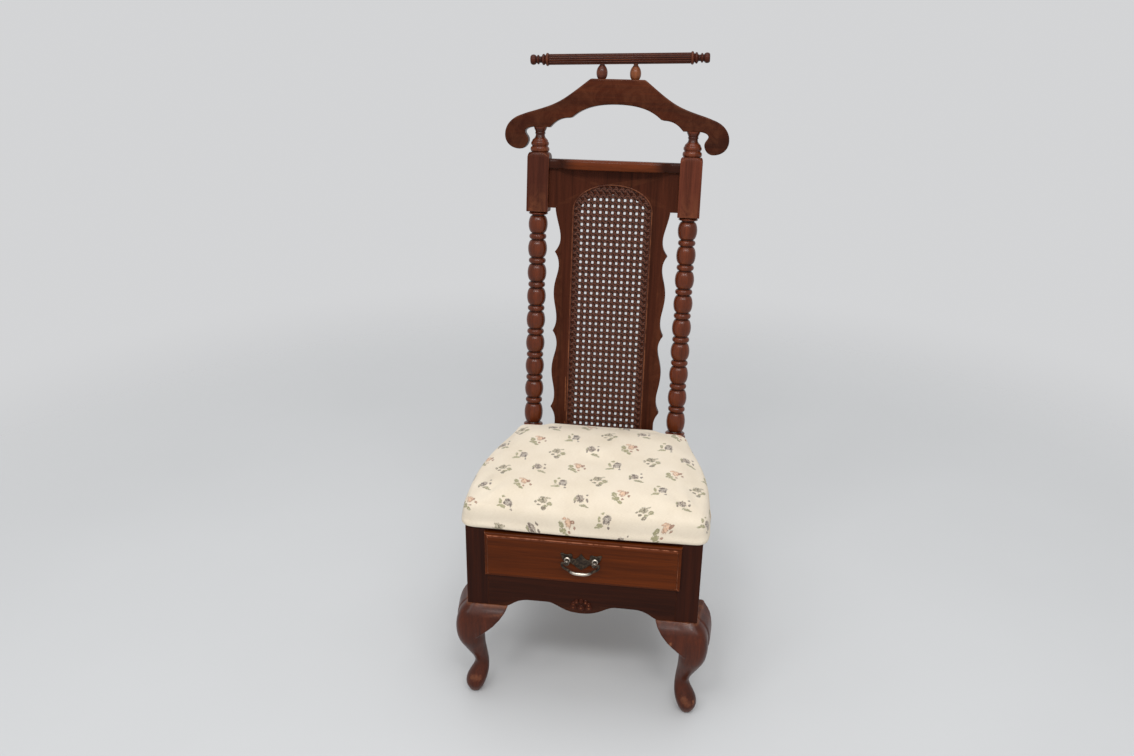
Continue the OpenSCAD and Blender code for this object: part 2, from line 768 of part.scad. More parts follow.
hanger_half = let (z = hanger_z, low = hanger_z - scroll_drop, top = hanger_top, px = post_x) concat(
    [[hanger_flat - 3, top]],
    curve([hanger_flat, top - 1], [px - 74, z + 76], [px - 55, z + 60], [px - 34, z + 49]),
    curve([px - 34, z + 49], [px - 8, z + 36], [px + 20, z + 31], [px + 36, z + 24]),
    curve([px + 36, z + 24], [tip_x - 12, z + 17], [tip_x, z + 2], [tip_x, z - 16]),
    curve([tip_x, z - 16], [tip_x, low + 11], [tip_x - 13, low], [tip_x - 30, low]),
    curve([tip_x - 30, low], [tip_x - 40, low], [tip_x - 48, low + 9], [tip_x - 48, low + 19]),
    curve([tip_x - 48, low + 19], [tip_x - 48, low + 26], [tip_x - 41, low + 30], [tip_x - 41, z - 9]),
    curve([tip_x - 41, z - 9], [tip_x - 41, z - 4], [px + seat_out + 8, z - 1], [px + seat_out, z], 5),
    [[px + seat_out, z], [px - seat_in, z]],
    curve([px - seat_in - 2, z + 2], [px - 32, z + 13], [px - 42, z + 20], [px - 63, z + 19.5]),
    curve([px - 65, z + 21], [px - 86, z + hanger_arch - 7], [px - 116, z + hanger_arch],
          [0, z + hanger_arch], 12)
);

module hanger() {
    color(MAHOGANY) leaning() difference() {
        board(-hanger_t / 2, hanger_t) polygon(both(hanger_half));
        for (side = [-1, 1]) translate([side * post_x, 0, hanger_z - 1])
            cylinder(d = tenon_d + 2 * joint_gap, h = tenon_l + 2, $fn = ROUND);
        for (side = [-1, 1]) translate([side * egg_gap / 2, 0, hanger_top - egg_tenon_l])
            cylinder(d = egg_tenon_d + 2 * joint_gap, h = egg_tenon_l + 1, $fn = ROUND);
    }
}

// --------------------------------------------------------------- trouser bar

egg_tenon_l = 10;
egg_r = egg_d / 2;

// An egg, widest below its middle, with a tenon at each end
module egg(side) {
    reach = side * egg_gap / 2 * tan(bar_tilt);
    top = hanger_top + egg_h;
    color(MAHOGANY) leaning() translate([side * egg_gap / 2, 0, 0])
        rotate_extrude($fn = ROUND) polygon(concat(
            [[0, hanger_top - egg_tenon_l + 1], [egg_tenon_d / 2, hanger_top - egg_tenon_l + 1],
             [egg_tenon_d / 2, hanger_top]],
            curve([egg_r * 0.64, hanger_top], [egg_r * 0.93, hanger_top + egg_h * 0.12],
                  [egg_r, hanger_top + egg_h * 0.28], [egg_r, hanger_top + egg_h * 0.44], 8),
            curve([egg_r, hanger_top + egg_h * 0.44], [egg_r, hanger_top + egg_h * 0.68],
                  [egg_r * 0.72, top - egg_h * 0.11], [egg_tenon_d / 2 + 0.8, top - 1], 8),
            [[egg_tenon_d / 2 + 0.8, top], [egg_tenon_d / 2, top],
             [egg_tenon_d / 2, bar_z + reach - bar_d / 2 + bar_socket - 1.5],
             [0, bar_z + reach - bar_d / 2 + bar_socket - 1.5]]
        ));
}

bar_r = bar_d / 2;
bar_socket = 8;
bar_core = bar_r - 0.5;

// Half profile of one turned end, z from the end of the shaft outwards
bar_end = concat(
    [[0, -1], [bar_core, -1]],
    swell(bar_core - 0.5, bar_collar_d / 2, 0, 6, 6),
    swell(bar_core - 2, bar_r + 0.4, 8, bar_end_l - 23.5, 6),
    curve([bar_core - 2.6, bar_end_l - 23], [bar_core - 4.2, bar_end_l - 21.5],
          [bar_core - 4.2, bar_end_l - 19], [bar_core - 2.8, bar_end_l - 17.5], 5),
    swell(bar_core - 2.6, bar_r - 1.2, bar_end_l - 17.5, bar_end_l - 13.5, 6),
    [[bar_core - 3.2, bar_end_l - 13], [bar_core - 3.2, bar_end_l - 11.5]],
    [for (p = swell(bar_core - 4, bar_r - 0.4, bar_end_l - 11.5, bar_end_l, 10))
        if (p[1] > bar_end_l - 11 && p[1] < bar_end_l - 0.1) p],
    [[bar_core - 5, bar_end_l], [0, bar_end_l]]
);

module trouser_bar() {
    shaft = bar_l - 2 * bar_end_l;
    color(MAHOGANY) leaning() difference() {
        translate([0, 0, bar_z]) rotate([0, -bar_tilt, 0]) rotate([0, 90, 0]) {
            translate([0, 0, -shaft / 2]) linear_extrude(height = shaft) difference() {
                circle(r = bar_r, $fn = ROUND);
                for (i = [0 : flute_count - 1]) rotate([0, 0, (i + 0.5) * 360 / flute_count])
                    translate([bar_r + 0.6, 0]) circle(d = flute_d, $fn = 16);
            }
            translate([0, 0, shaft / 2]) rotate_extrude($fn = ROUND) polygon(bar_end);
            translate([0, 0, -shaft / 2]) mirror([0, 0, 1]) rotate_extrude($fn = ROUND) polygon(bar_end);
        }
        for (side = [-1, 1])
            translate([side * egg_gap / 2, 0, bar_z - bar_r + side * egg_gap / 2 * tan(bar_tilt) - 4])
                cylinder(d = egg_tenon_d + 2 * joint_gap, h = bar_socket + 4, $fn = ROUND);
    }
}

// ---------------------------------------------------------------------- seat

board_half_front = half_w - board_inset;
board_half_back = post_out - board_inset;
board_back = post_front - board_inset;

module board_plan(gap) {
    polygon([
        [-board_half_front - gap, board_inset - gap], [board_half_front + gap, board_inset - gap],
        [board_half_back + gap, board_back + gap], [-board_half_back - gap, board_back + gap]
    ]);
}

module seat_board() {
    color(PLAIN_WOOD) placed() translate([0, 0, case_top])
        linear_extrude(height = board_t) board_plan(0);
}

cushion_back = post_front - soft_gap;
cushion_mid_back = case_depth - splat_t / 2 - soft_gap;

// Right half of the cushion's plan, from the middle of the front to the middle of the back
cushion_half = let (
    w = half_w + cushion_over, v = post_out + cushion_over + 1.5, f = -cushion_front, b = cushion_back
) concat(
    curve([0, f - 3], [70, f - 3], [130, f - 1], [w - 25, f + 1], 5),
    curve([w - 25, f + 1], [w - 7, f + 3], [w - 1, f + 10], [w, f + 30], 5),
    curve([w, f + 30], [w + 3, b * 0.56], [w - 16, b * 0.66], [v - 3, b - 12], 7),
    curve([v - 3, b - 12], [v - 5, b - 3], [v - 12, b], [v - 20, b], 3),
    [[post_in - 2, b], [post_in - 10, cushion_mid_back], [post_in * 0.5, cushion_mid_back]]
);
cushion_plan = concat(
    cushion_half, [[0, cushion_mid_back]],
    [for (i = [len(cushion_half) - 1 : -1 : 1]) [-cushion_half[i][0], cushion_half[i][1]]]
);
cushion_mid = [0, case_depth * 0.46];

// Inset, share of the reach that is left, share of the side height and rise above it
cushion_rings = let (c = cushion_crown, d = cushion_draw) concat(
    [[d, 1, 0, 0], [d * 0.35, 1, 0.04, 0], [0, 1, 0.2, 0], [-0.6, 1, 0.42, 0], [0.5, 1, 0.64, 0],
     [3.5, 1, 0.82, 0], [8, 1, 0.94, 0]],
    [for (k = [1, 0.93, 0.84, 0.7, 0.5, 0.28, 0.08]) [14, k, 1, c * (1 - 0.94 * pow(k, 2.6))]]
);

function cushion_ring(r) = [
    for (p = cushion_plan) let (
        out = p - cushion_mid, k = r[1] * (1 - r[0] / norm(out)),
        side = cushion_side_h + cushion_lift * max(p[1], 0) / cushion_back
    ) [cushion_mid[0] + out[0] * k, cushion_mid[1] + out[1] * k, case_top + r[2] * side + r[3]]
];

module seat_cushion() {
    color(FABRIC) placed() difference() {
        skin([for (r = cushion_rings) cushion_ring(r)]);
        translate([0, 0, case_top - 1]) linear_extrude(height = board_t + 1 + joint_gap) board_plan(joint_gap);
    }
}

// -------------------------------------------------------------------- drawer

front_half = open_half + lip;

// The drawer front: a plug in the opening, a lip over the frame and a raised field
module drawer_front() {
    plug = open_half - opening_gap;
    plug_low = open_bottom + opening_gap;
    plug_h = opening_h - 2 * opening_gap;
    h = drawer_high - drawer_low;
    color(ORANGE_WOOD) placed() difference() {
        union() {
            translate([-plug, -slide_gap - 1, plug_low]) cube([2 * plug, box_y + slide_gap + 1, plug_h]);
            translate([-front_half, -slide_gap - lip_t, drawer_low]) cube([2 * front_half, lip_t, h]);
            translate([-front_half + step_w, front_y, drawer_low + step_w])
                cube([2 * (front_half - step_w), field_t + 1, h - 2 * step_w]);
        }
        // rebates for the sides, and the groove for the bottom
        for (side = [-1, 1])
            translate([side * (box_half - box_t / 2) - box_t / 2, box_y - rebate, plug_low - 1])
                cube([box_t, rebate + 1, plug_h + 2]);
        translate([-box_half, box_y - groove, box_z + bottom_up])
            cube([2 * box_half, groove + 1, bottom_t]);
        for (side = [-1, 1]) translate([side * pull_gap / 2, front_y - 1, bail_z])
            rotate([-90, 0, 0]) cylinder(d = screw_d + 2 * joint_gap, h = box_y - front_y + 2, $fn = ROUND);
    }
}

rebate = 8;
screw_d = 4;
box_back = box_y + box_depth;

module drawer_side(side) {
    color(PLAIN_WOOD) placed() sided(side) difference() {
        translate([box_half - box_t, box_y - rebate, box_z]) cube([box_t, box_depth + rebate, box_h]);
        translate([box_half - box_t - 1, box_y - rebate - 1, box_z + bottom_up])
            cube([groove + 1, box_depth + rebate + 2, bottom_t]);
    }
}

module drawer_back() {
    low = bottom_up + bottom_t;
    color(PLAIN_WOOD) placed() translate([-box_half + box_t, box_back - box_t, box_z + low])
        cube([2 * (box_half - box_t), box_t, box_h - low - 6]);
}

module drawer_bottom() {
    half = box_half - box_t + groove - joint_gap;
    color(PLAIN_WOOD) placed()
        translate([-half, box_y - groove + joint_gap, box_z + bottom_up + joint_gap / 2])
            cube([2 * half, box_depth + groove - joint_gap, bottom_t - joint_gap]);
}

// ---------------------------------------------------------------------- pull

plate_half = let (w = plate_half_w, z = bail_z) concat(
    [[0, z + 15.5], [3, z + 11]],
    curve([3, z + 11], [6, z + 6.5], [9, z + 3.5], [13, z + 3], 5),
    curve([13, z + 3], [17, z + 3], [15, z + 9], [17, z + 12.5], 5),
    curve([17, z + 12.5], [20, z + 16], [24, z + 11], [28, z + 12], 5),
    curve([28, z + 12], [31, z + 13], [34, z + 14.5], [w - 1, z + 14.5], 4),
    curve([w, z + 13], [w - 2.5, z + 9], [w - 2, z + 4], [w - 5.5, z - 1], 5),
    curve([w - 5.5, z - 1], [w - 8, z - 5], [w - 11, z - 7], [w - 14.5, z - 7], 5),
    curve([w - 14.5, z - 7], [w - 20, z - 6], [14, z - 8], [11, z - 12], 5),
    curve([11, z - 12], [8, z - 16], [4, z - 16], [0, z - 20], 5)
);

module pull_plate() {
    color(BRASS) placed() difference() {
        board(plate_y, plate_t) polygon(concat([[0, bail_z - 20]], both_sides(plate_half)));
        for (side = [-1, 1]) translate([side * pull_gap / 2, plate_y - 1, bail_z])
            rotate([-90, 0, 0]) cylinder(d = screw_d + 2 * joint_gap, h = plate_t + 2, $fn = ROUND);
    }
}

// A half outline from the top point to the bottom point, closed by its mirror image
function both_sides(half) = concat(
    [for (i = [len(half) - 1 : -1 : 1]) [-half[i][0], half[i][1]]], half
);

nut_h = 3;
screw_l = box_y - plate_y + nut_h + 2;
post_r = pull_post_d / 2;
post_neck = 2.8;

// A pull post: a screw through the front, a turned foot and a head with a bore for the bail
module pull_post(side) {
    low = asin(post_neck / post_r);
    color(BRASS) placed() translate([side * pull_gap / 2, plate_y, bail_z]) difference() {
        rotate([90, 0, 0]) {
            rotate_extrude($fn = ROUND) polygon(concat(
                [[0, -screw_l], [screw_d / 2, -screw_l], [screw_d / 2, 0], [post_r + 1, 0],
                 [post_r + 0.5, 1.6], [post_neck + 0.6, 2.4], [post_neck, 4]],
                [for (i = [0 : 8]) let (a = low + (180 - low) * i / 8)
                    [post_r * sin(a), bail_stand - post_r * cos(a)]]
            ));
            translate([0, 0, plate_y - box_y - nut_h]) cylinder(d = 2 * screw_d, h = nut_h, $fn = 6);
        }
        translate([-pull_post_d, -bail_stand, 0]) rotate([0, 90, 0])
            cylinder(d = bail_pin_d + 2 * pin_gap, h = 2 * pull_post_d, $fn = ROUND);
    }
}

bail_out = pull_gap / 2 + post_r + bail_d / 2 + 0.8;
bail_sides = 12;

// Right half of the bail's centre line, from its arm to the middle of its grip
bail_half = let (w = bail_out, z = bail_z, low = bail_z - bail_drop) concat(
    curve([w, z], [w, z - 8], [w - 6, z - 11], [w - 12, z - 15], 7),
    curve([w - 12, z - 15], [w - 18, low], [9, low], [0, low], 6)
);
bail_line = concat(bail_half, [[0, bail_z - bail_drop]], [for (i = [len(bail_half) - 1 : -1 : 0])
    [-bail_half[i][0], bail_half[i][1]]]);

// One round section of the bail, square to its centre line
function bail_ring(i) = let (
    last = len(bail_line) - 1, p = bail_line[i],
    run = i == 0 || i == last ? [0, i == 0 ? -1 : 1] : bail_line[i + 1] - bail_line[i - 1],
    across = [-run[1], run[0]] / norm(run), r = bail_d / 2
) [
    for (j = [0 : bail_sides - 1]) let (a = j * 360 / bail_sides)
        [p[0] + across[0] * r * cos(a), -r * sin(a), p[1] + across[1] * r * cos(a)]
];

// The bail: a rod bent into a swan-necked loop that hangs from two inward pins
module pull_bail() {
    color(BRASS) placed() translate([0, bail_y, 0]) {
        skin([for (i = [0 : len(bail_line) - 1]) bail_ring(i)]);
        for (side = [-1, 1]) translate([side * bail_out, 0, bail_z]) {
            rotate([0, -side * 90, 0])
                cylinder(d = bail_pin_d, h = bail_out - pull_gap / 2 + post_r - 1, $fn = ROUND);
            sphere(r = bail_d / 2 + 0.4, $fn = ROUND);
        }
    }
}

front_leg(-1);  // front_leg_left
front_leg(1);  // front_leg_right
knee_block_front(-1);  // knee_block_front_left
knee_block_front(1);  // knee_block_front_right
knee_block_side(-1);  // knee_block_side_left
knee_block_side(1);  // knee_block_side_right
front_stile(-1);  // front_stile_left
front_stile(1);  // front_stile_right
top_rail();
apron();
shell_carving();
side_panel(-1);  // side_panel_left
side_panel(1);  // side_panel_right
back_rail();
corner_block_piece(-1);  // corner_block_left
corner_block_piece(1);  // corner_block_right
drawer_runner(-1);  // drawer_runner_left
drawer_runner(1);  // drawer_runner_right
drawer_kicker(-1);  // drawer_kicker_left
drawer_kicker(1);  // drawer_kicker_right
back_post(-1);  // back_post_left
back_post(1);  // back_post_right
splat();
cane_panel();
cane_spline();
cap_rail();
hanger();
egg(-1);  // egg_left
egg(1);  // egg_right
trouser_bar();
seat_board();
seat_cushion();
drawer_front();
drawer_side(-1);  // drawer_side_left
drawer_side(1);  // drawer_side_right
drawer_back();
drawer_bottom();
pull_plate();
pull_post(-1);  // pull_post_left
pull_post(1);  // pull_post_right
pull_bail();
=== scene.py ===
"""Looks of a clothes valet chair: a padded seat over a drawer, on cabriole legs, with a
caned back between turned posts, a coat hanger and a trouser bar.

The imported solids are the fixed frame. Each sub-assembly below is a class that cuts, turns,
weaves or pads its own pieces over that frame, in metres, and dresses them in a finish.
"""
import logging
import math
from contextlib import contextmanager
from dataclasses import dataclass
from enum import Enum
from typing import Iterable, Iterator, Optional, Sequence, Union

import bmesh
import bpy
import numpy as np
from mathutils import Matrix, Vector


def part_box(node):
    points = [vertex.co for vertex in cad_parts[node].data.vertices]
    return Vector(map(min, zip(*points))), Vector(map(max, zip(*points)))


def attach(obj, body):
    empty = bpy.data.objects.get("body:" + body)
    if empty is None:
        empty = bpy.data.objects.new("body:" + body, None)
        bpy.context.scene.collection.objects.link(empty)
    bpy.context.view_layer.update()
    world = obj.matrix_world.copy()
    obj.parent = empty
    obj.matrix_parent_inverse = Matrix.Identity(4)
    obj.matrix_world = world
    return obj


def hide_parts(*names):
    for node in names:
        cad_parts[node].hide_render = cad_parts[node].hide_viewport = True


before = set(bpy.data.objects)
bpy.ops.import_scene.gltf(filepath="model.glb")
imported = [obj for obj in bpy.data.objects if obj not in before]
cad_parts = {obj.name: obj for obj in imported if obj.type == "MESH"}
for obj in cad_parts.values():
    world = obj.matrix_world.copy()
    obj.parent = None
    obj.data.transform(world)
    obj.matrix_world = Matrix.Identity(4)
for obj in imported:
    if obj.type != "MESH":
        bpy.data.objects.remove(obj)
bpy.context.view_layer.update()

MM = 0.001
LOG = logging.getLogger("valet_chair")

Point = tuple[float, float]
Colour = tuple[float, float, float]
Skin = tuple[np.ndarray, Sequence[Sequence[int]]]


# ------------------------------------------------------------------ shader arithmetic

class Wire:
    """An output of a shader node that can be used in Python arithmetic."""

    def __init__(self, bench: "Bench", socket: bpy.types.NodeSocket) -> None:
        """Keeps the socket and the bench that its nodes stand on."""
        self.bench = bench
        self.socket = socket

    def _with(self, operation: str, *values: "Value") -> "Wire":
        """Returns a Math node's result for these values."""
        return self.bench.math(operation, *values)

    def __add__(self, other: "Value") -> "Wire":
        """Returns self + other."""
        return self._with("ADD", self, other)

    def __radd__(self, other: "Value") -> "Wire":
        """Returns other + self."""
        return self._with("ADD", other, self)

    def __sub__(self, other: "Value") -> "Wire":
        """Returns self - other."""
        return self._with("SUBTRACT", self, other)

    def __rsub__(self, other: "Value") -> "Wire":
        """Returns other - self."""
        return self._with("SUBTRACT", other, self)

    def __mul__(self, other: "Value") -> "Wire":
        """Returns self * other."""
        return self._with("MULTIPLY", self, other)

    def __truediv__(self, other: "Value") -> "Wire":
        """Returns self / other."""
        return self._with("DIVIDE", self, other)

    def __mod__(self, other: "Value") -> "Wire":
        """Returns self modulo other, never negative."""
        return self._with("FLOORED_MODULO", self, other)

    def __abs__(self) -> "Wire":
        """Returns the absolute value."""
        return self._with("ABSOLUTE", self)

    def __lt__(self, other: "Value") -> "Wire":
        """Returns 1 where self < other."""
        return self._with("LESS_THAN", self, other)

    def __gt__(self, other: "Value") -> "Wire":
        """Returns 1 where self > other."""
        return self._with("GREATER_THAN", self, other)


Value = Union[Wire, float, int, tuple]

# The Mix node's sockets for colours, which share their names with those for numbers.
MIX_FIRST, MIX_SECOND, MIX_RESULT = 6, 7, 2


class Bench:
    """One material, or the world, and the nodes that are added to it."""

    def __init__(self, owner: Union[str, bpy.types.World]) -> None:
        """Makes an empty node material of this name, or empties a world's nodes."""
        self.material = bpy.data.materials.new(owner) if isinstance(owner, str) else owner
        self.material.use_nodes = True
        self.tree = self.material.node_tree
        self.tree.nodes.clear()

    def node(self, kind: str, settings: Optional[dict] = None, values: Optional[dict] = None,
             out: Union[int, str] = 0) -> Wire:
        """Adds a node.

        Args:
            kind: The node's type, without the ShaderNode prefix.
            settings: Properties that are set first; "stops" fills a colour ramp.
            values: Values or wires for its input sockets, by name or index.
            out: The output that the result stands for.

        Returns:
            The chosen output.
        """
        node = self.tree.nodes.new("ShaderNode" + kind)
        for key, setting in (settings or {}).items():
            if key == "stops":
                self._fill_ramp(node.color_ramp, setting)
            else:
                setattr(node, key, setting)
        for key, value in (values or {}).items():
            self._feed(node.inputs[key], value)
        return Wire(self, node.outputs[out])

    @staticmethod
    def _fill_ramp(ramp: bpy.types.ColorRamp, stops: Sequence[tuple[float, Colour]]) -> None:
        """Sets a ramp's stops, each a place and a colour."""
        while len(ramp.elements) < len(stops):
            ramp.elements.new(0.5)
        for element, (place, colour) in zip(ramp.elements, stops):
            element.position = place
            element.color = (*colour, 1.0)

    def _feed(self, socket: bpy.types.NodeSocket, value: Value) -> None:
        """Links a wire to a socket, or sets the socket's own value."""
        if isinstance(value, Wire):
            self.tree.links.new(value.socket, socket)
        elif isinstance(value, tuple) and len(value) == 3 and socket.type == "RGBA":
            socket.default_value = (*value, 1.0)
        else:
            socket.default_value = value

    def math(self, operation: str, *values: Value, clamp: bool = False) -> Wire:
        """Returns a Math node's result for one to three values."""
        return self.node("Math", {"operation": operation, "use_clamp": clamp}, dict(enumerate(values)))

    def clamped(self, value: Value) -> Wire:
        """Returns a value held between 0 and 1."""
        return self.math("ADD", value, 0.0, clamp=True)

    def ease(self, value: Value, low: float, high: float) -> Wire:
        """Returns a smooth step from 0 at low to 1 at high."""
        return self.node("MapRange", {"interpolation_type": "SMOOTHSTEP"}, {0: value, 1: low, 2: high})

    def vector_math(self, operation: str, first: Value, second: Value = (0, 0, 0),
                    out: str = "Vector") -> Wire:
        """Returns a Vector Math node's result for two vectors."""
        return self.node("VectorMath", {"operation": operation}, {0: first, 1: second}, out)

    def place(self) -> Wire:
        """Returns the point's place in the row frame, which rides with its body."""
        return self.node("TexCoord", out="Object")

    def stored(self, name: str, out: str = "Fac") -> Wire:
        """Returns what the mesh stores under a name at its points."""
        return self.node("Attribute", {"attribute_name": name}, out=out)

    def stretched(self, vector: Wire, turn: tuple, scale: tuple, shift: tuple = (0, 0, 0)) -> Wire:
        """Returns a vector that is turned, scaled and shifted."""
        turned = self.node("VectorRotate", {"rotation_type": "EULER_XYZ"},
                           {"Vector": vector, "Rotation": turn})
        return self.vector_math("ADD", self.vector_math("MULTIPLY", turned, scale), shift)

    def axes(self, vector: Wire) -> tuple[Wire, Wire, Wire]:
        """Returns the three parts of a vector."""
        split = self.node("SeparateXYZ", values={0: vector})
        outputs = split.socket.node.outputs
        return tuple(Wire(self, outputs[i]) for i in range(3))

    def joined(self, x: Value, y: Value, z: Value) -> Wire:
        """Returns the vector of three parts."""
        return self.node("CombineXYZ", values={0: x, 1: y, 2: z})

    def noise(self, vector: Wire, scale: float, detail: float = 2.0, rough: float = 0.5,
              distortion: float = 0.0) -> Wire:
        """Returns a noise value from 0 to 1 at a vector."""
        return self.node("TexNoise", {"noise_dimensions": "3D"}, {
            "Vector": vector, "Scale": scale, "Detail": detail, "Roughness": rough,
            "Distortion": distortion})

    def ramp(self, value: Value, *stops: tuple[float, Colour]) -> Wire:
        """Returns the colour of a ramp at a value."""
        return self.node("ValToRGB", {"stops": stops}, {0: value})

    def blend(self, share: Value, first: Value, second: Value) -> Wire:
        """Returns two colours mixed by a share."""
        return self.node("Mix", {"data_type": "RGBA", "clamp_factor": True},
                         {"Factor": share, MIX_FIRST: first, MIX_SECOND: second}, out=MIX_RESULT)

    def finish(self, fixed: dict, varied: dict,
               bump: Optional[tuple[Value, float]] = None) -> bpy.types.Material:
        """Closes the material with a Principled shader.

        Args:
            fixed: Values set on the shader's own sockets.
            varied: Wires for what changes over the surface.
            bump: A height and its depth in metres.

        Returns:
            The material.
        """
        values = {**fixed, **varied}
        if bump:
            height, depth = bump
            relief = {"Height": height, "Distance": depth, "Strength": 1.0}
            values["Normal"] = self.node("Bump", values=relief)
        shader = self.node("BsdfPrincipled", values=values)
        self.node_output(shader)
        return self.material

    def node_output(self, shader: Wire, kind: str = "Material") -> None:
        """Sends a shader to the surface of the material or the world."""
        output = self.tree.nodes.new("ShaderNodeOutput" + kind)
        self.tree.links.new(shader.socket, output.inputs["Surface"])


def srgb(red: int, green: int, blue: int) -> Colour:
    """Returns the linear colour of three display values from 0 to 255."""
    def linear(value: float) -> float:
        """Returns one channel's linear value."""
        value /= 255
        return value / 12.92 if value <= 0.04045 else ((value + 0.055) / 1.055) ** 2.4
    return linear(red), linear(green), linear(blue)


def shaded(colour: Colour, share: float) -> Colour:
    """Returns a colour made lighter or darker."""
    return tuple(min(1.0, channel * share) for channel in colour)


# ------------------------------------------------------------------------- finishes

RAKE = math.radians(8.5)


class Grain(Enum):
    """The direction that a piece's grain runs in, as the turn that brings it upright."""

    ALONG_X = (0.0, math.pi / 2, 0.0)
    ALONG_Y = (math.pi / 2, 0.0, 0.0)
    UPRIGHT = (0.0, 0.0, 0.0)
    LEANING = (RAKE, 0.0, 0.0)


@dataclass(frozen=True)
class ScarOrHighlight:
    """A scratch, a rubbed patch through the lacquer, or a painted highlight, from start to end."""

    start: tuple[float, float, float]
    end: tuple[float, float, float]
    width: float
    depth: float = 0.8


@dataclass(frozen=True)
class Lacquered:
    """Stained and lacquered mahogany: straight grain, dark glaze and painted shade in its hollows, rubbed
    edges that on some pieces also carry painted highlights.
    """

    name: str
    grain: Grain
    stain: Colour = srgb(62, 27, 14)
    contrast: float = 0.42
    # Colour of rubbed edges and scars, also of the painted highlights on the legs, drawer moulding, shell and
    # spline.
    rubbed_and_highlight: Colour = srgb(132, 80, 52)
    # Colour of glaze in pores and hollows; in the hollows and at darkened ends it is also painted shade.
    glaze_and_shade: Colour = srgb(26, 10, 6)
    seed: float = 0.0
    wear_and_highlight: float = 0.25
    turned: bool = False
    figure: float = 42.0
    scars_and_highlights: tuple[ScarOrHighlight, ...] = ()
    gloss: float = 0.30
    shine: float = 0.07
    # ends and fade: the colour darkens towards glaze_and_shade between these distances from the middle; on
    # the cap rail this is painted shade, on the hanger the scrolled ends are darker.
    ends: Optional[Point] = None
    fade: float = 0.80

    def dress(self) -> bpy.types.Material:
        """Returns the material."""
        b = Bench(self.name)
        place = b.place()
        shift = (self.seed, self.seed * 0.7, self.seed * 1.3)
        grain = b.stretched(place, self.grain.value, (1.0, 1.0, 0.03), shift)
        figure = b.noise(grain, self.figure, 2.0, 0.5, 0.6)
        streaks = b.noise(grain, self.figure * 5.5, 3.0, 0.6, 0.2)
        fibre = b.noise(grain, 900.0, 2.0, 0.6)
        short = b.stretched(place, self.grain.value, (1.0, 1.0, 0.09), (self.seed, 0.0, 0.0))
        pores = b.ease(b.noise(short, 1500.0, 1.0, 0.5), 0.64, 0.74)
        tone = figure * 0.42 + streaks * 0.38 + fibre * 0.20
        colour = b.ramp(tone, (0.36, shaded(self.stain, 1 - self.contrast)), (0.50, self.stain),
                        (0.66, shaded(self.stain, 1 + self.contrast * 1.3)))
        colour = b.blend(pores * 0.35, colour, self.glaze_and_shade)
        # Darker towards the ends: painted shade on the cap rail, darker scrolls on the hanger.
        if self.ends:
            across = abs(b.axes(place)[0])
            colour = b.blend(b.ease(across, self.ends[0], self.ends[1]) * self.fade, colour, self.glaze_and_shade)
        rub = b.noise(place, 31.0, 5.0, 0.75, 0.8)
        if self.turned:
            proud = b.stored("proud")
            # Turned and carved pieces: dark glaze and painted shade in their hollows.
            colour = b.blend((1.0 - b.ease(proud, 0.0, 0.42)) * 0.62, colour, self.glaze_and_shade)
            edge = b.ease(proud, 0.84, 1.0)
        else:
            edge = b.stored("edge")
        # Rubbed edges and crowns turn lighter: wear, and on the knees, drawer moulding, shell and spline also
        # painted highlights.
        worn_and_lit = b.clamped(edge * b.ease(rub, 0.34, 0.70) * (1.5 * self.wear_and_highlight))
        colour = b.blend(worn_and_lit, colour, self.rubbed_and_highlight)
        haze = b.noise(place, 7.0, 2.0, 0.5)
        rough = self.gloss + fibre * 0.06 + haze * 0.10 + worn_and_lit * 0.15
        # Scratches, rubbed patches and painted highlights along lines.
        for scar_or_highlight in self.scars_and_highlights:
            mark = self._mark(b, place, scar_or_highlight)
            colour = b.blend(mark * scar_or_highlight.depth, colour, self.rubbed_and_highlight)
            rough = rough + mark * 0.2
        relief = fibre * 0.30 - pores * 0.6 + streaks * 0.20
        return b.finish(
            {"IOR": 1.5, "Specular IOR Level": self.shine, "Coat Roughness": 0.12, "Coat IOR": 1.5},
            {"Base Color": colour, "Roughness": rough, "Coat Weight": b.clamped(self.shine - worn_and_lit * 0.2)},
            (relief, 0.00008))

    @staticmethod
    def _mark(b: Bench, place: Wire, scar_or_highlight: ScarOrHighlight) -> Wire:
        """Returns 1 within a mark's width of its line, broken up by noise.

        Args:
            b: The material's bench.
            place: The point's place.
            scar_or_highlight: The scratch, rubbed patch or painted highlight.

        Returns:
            The mask.
        """
        start, end = Vector(scar_or_highlight.start), Vector(scar_or_highlight.end)
        run = end - start
        offset = b.vector_math("SUBTRACT", place, tuple(start))
        along = b.clamped(b.vector_math("DOT_PRODUCT", offset, tuple(run), "Value") / run.length_squared)
        on_line = b.node("VectorMath", {"operation": "SCALE"}, {0: tuple(run), "Scale": along})
        gap = b.vector_math("DISTANCE", offset, on_line, "Value")
        ragged = b.noise(place, 260.0, 3.0, 0.7)
        return 1.0 - b.ease(gap / scar_or_highlight.width + ragged * 1.3, 0.75, 1.45)


@dataclass(frozen=True)
class Unfinished:
    """Plain secondary wood inside the case and the drawer."""

    name: str
    grain: Grain
    light: Colour = srgb(196, 160, 112)
    dark: Colour = srgb(158, 118, 76)
    seed: float = 0.0

    def dress(self) -> bpy.types.Material:
        """Returns the material."""
        b = Bench(self.name)
        place = b.place()
        grain = b.stretched(place, self.grain.value, (1.0, 1.0, 0.05), (self.seed, self.seed, self.seed))
        rings = b.noise(grain, 22.0, 4.0, 0.6, 1.5)
        fibre = b.noise(grain, 700.0, 2.0, 0.6)
        colour = b.ramp(rings * 0.7 + fibre * 0.3, (0.34, self.dark), (0.62, self.light))
        stain = b.ease(b.noise(place, 12.0, 4.0, 0.6), 0.55, 0.8)
        colour = b.blend(stain * 0.35, colour, srgb(120, 86, 54))
        return b.finish({"IOR": 1.45}, {"Base Color": colour, "Roughness": 0.62 + fibre * 0.2},
                        (fibre, 0.00015))


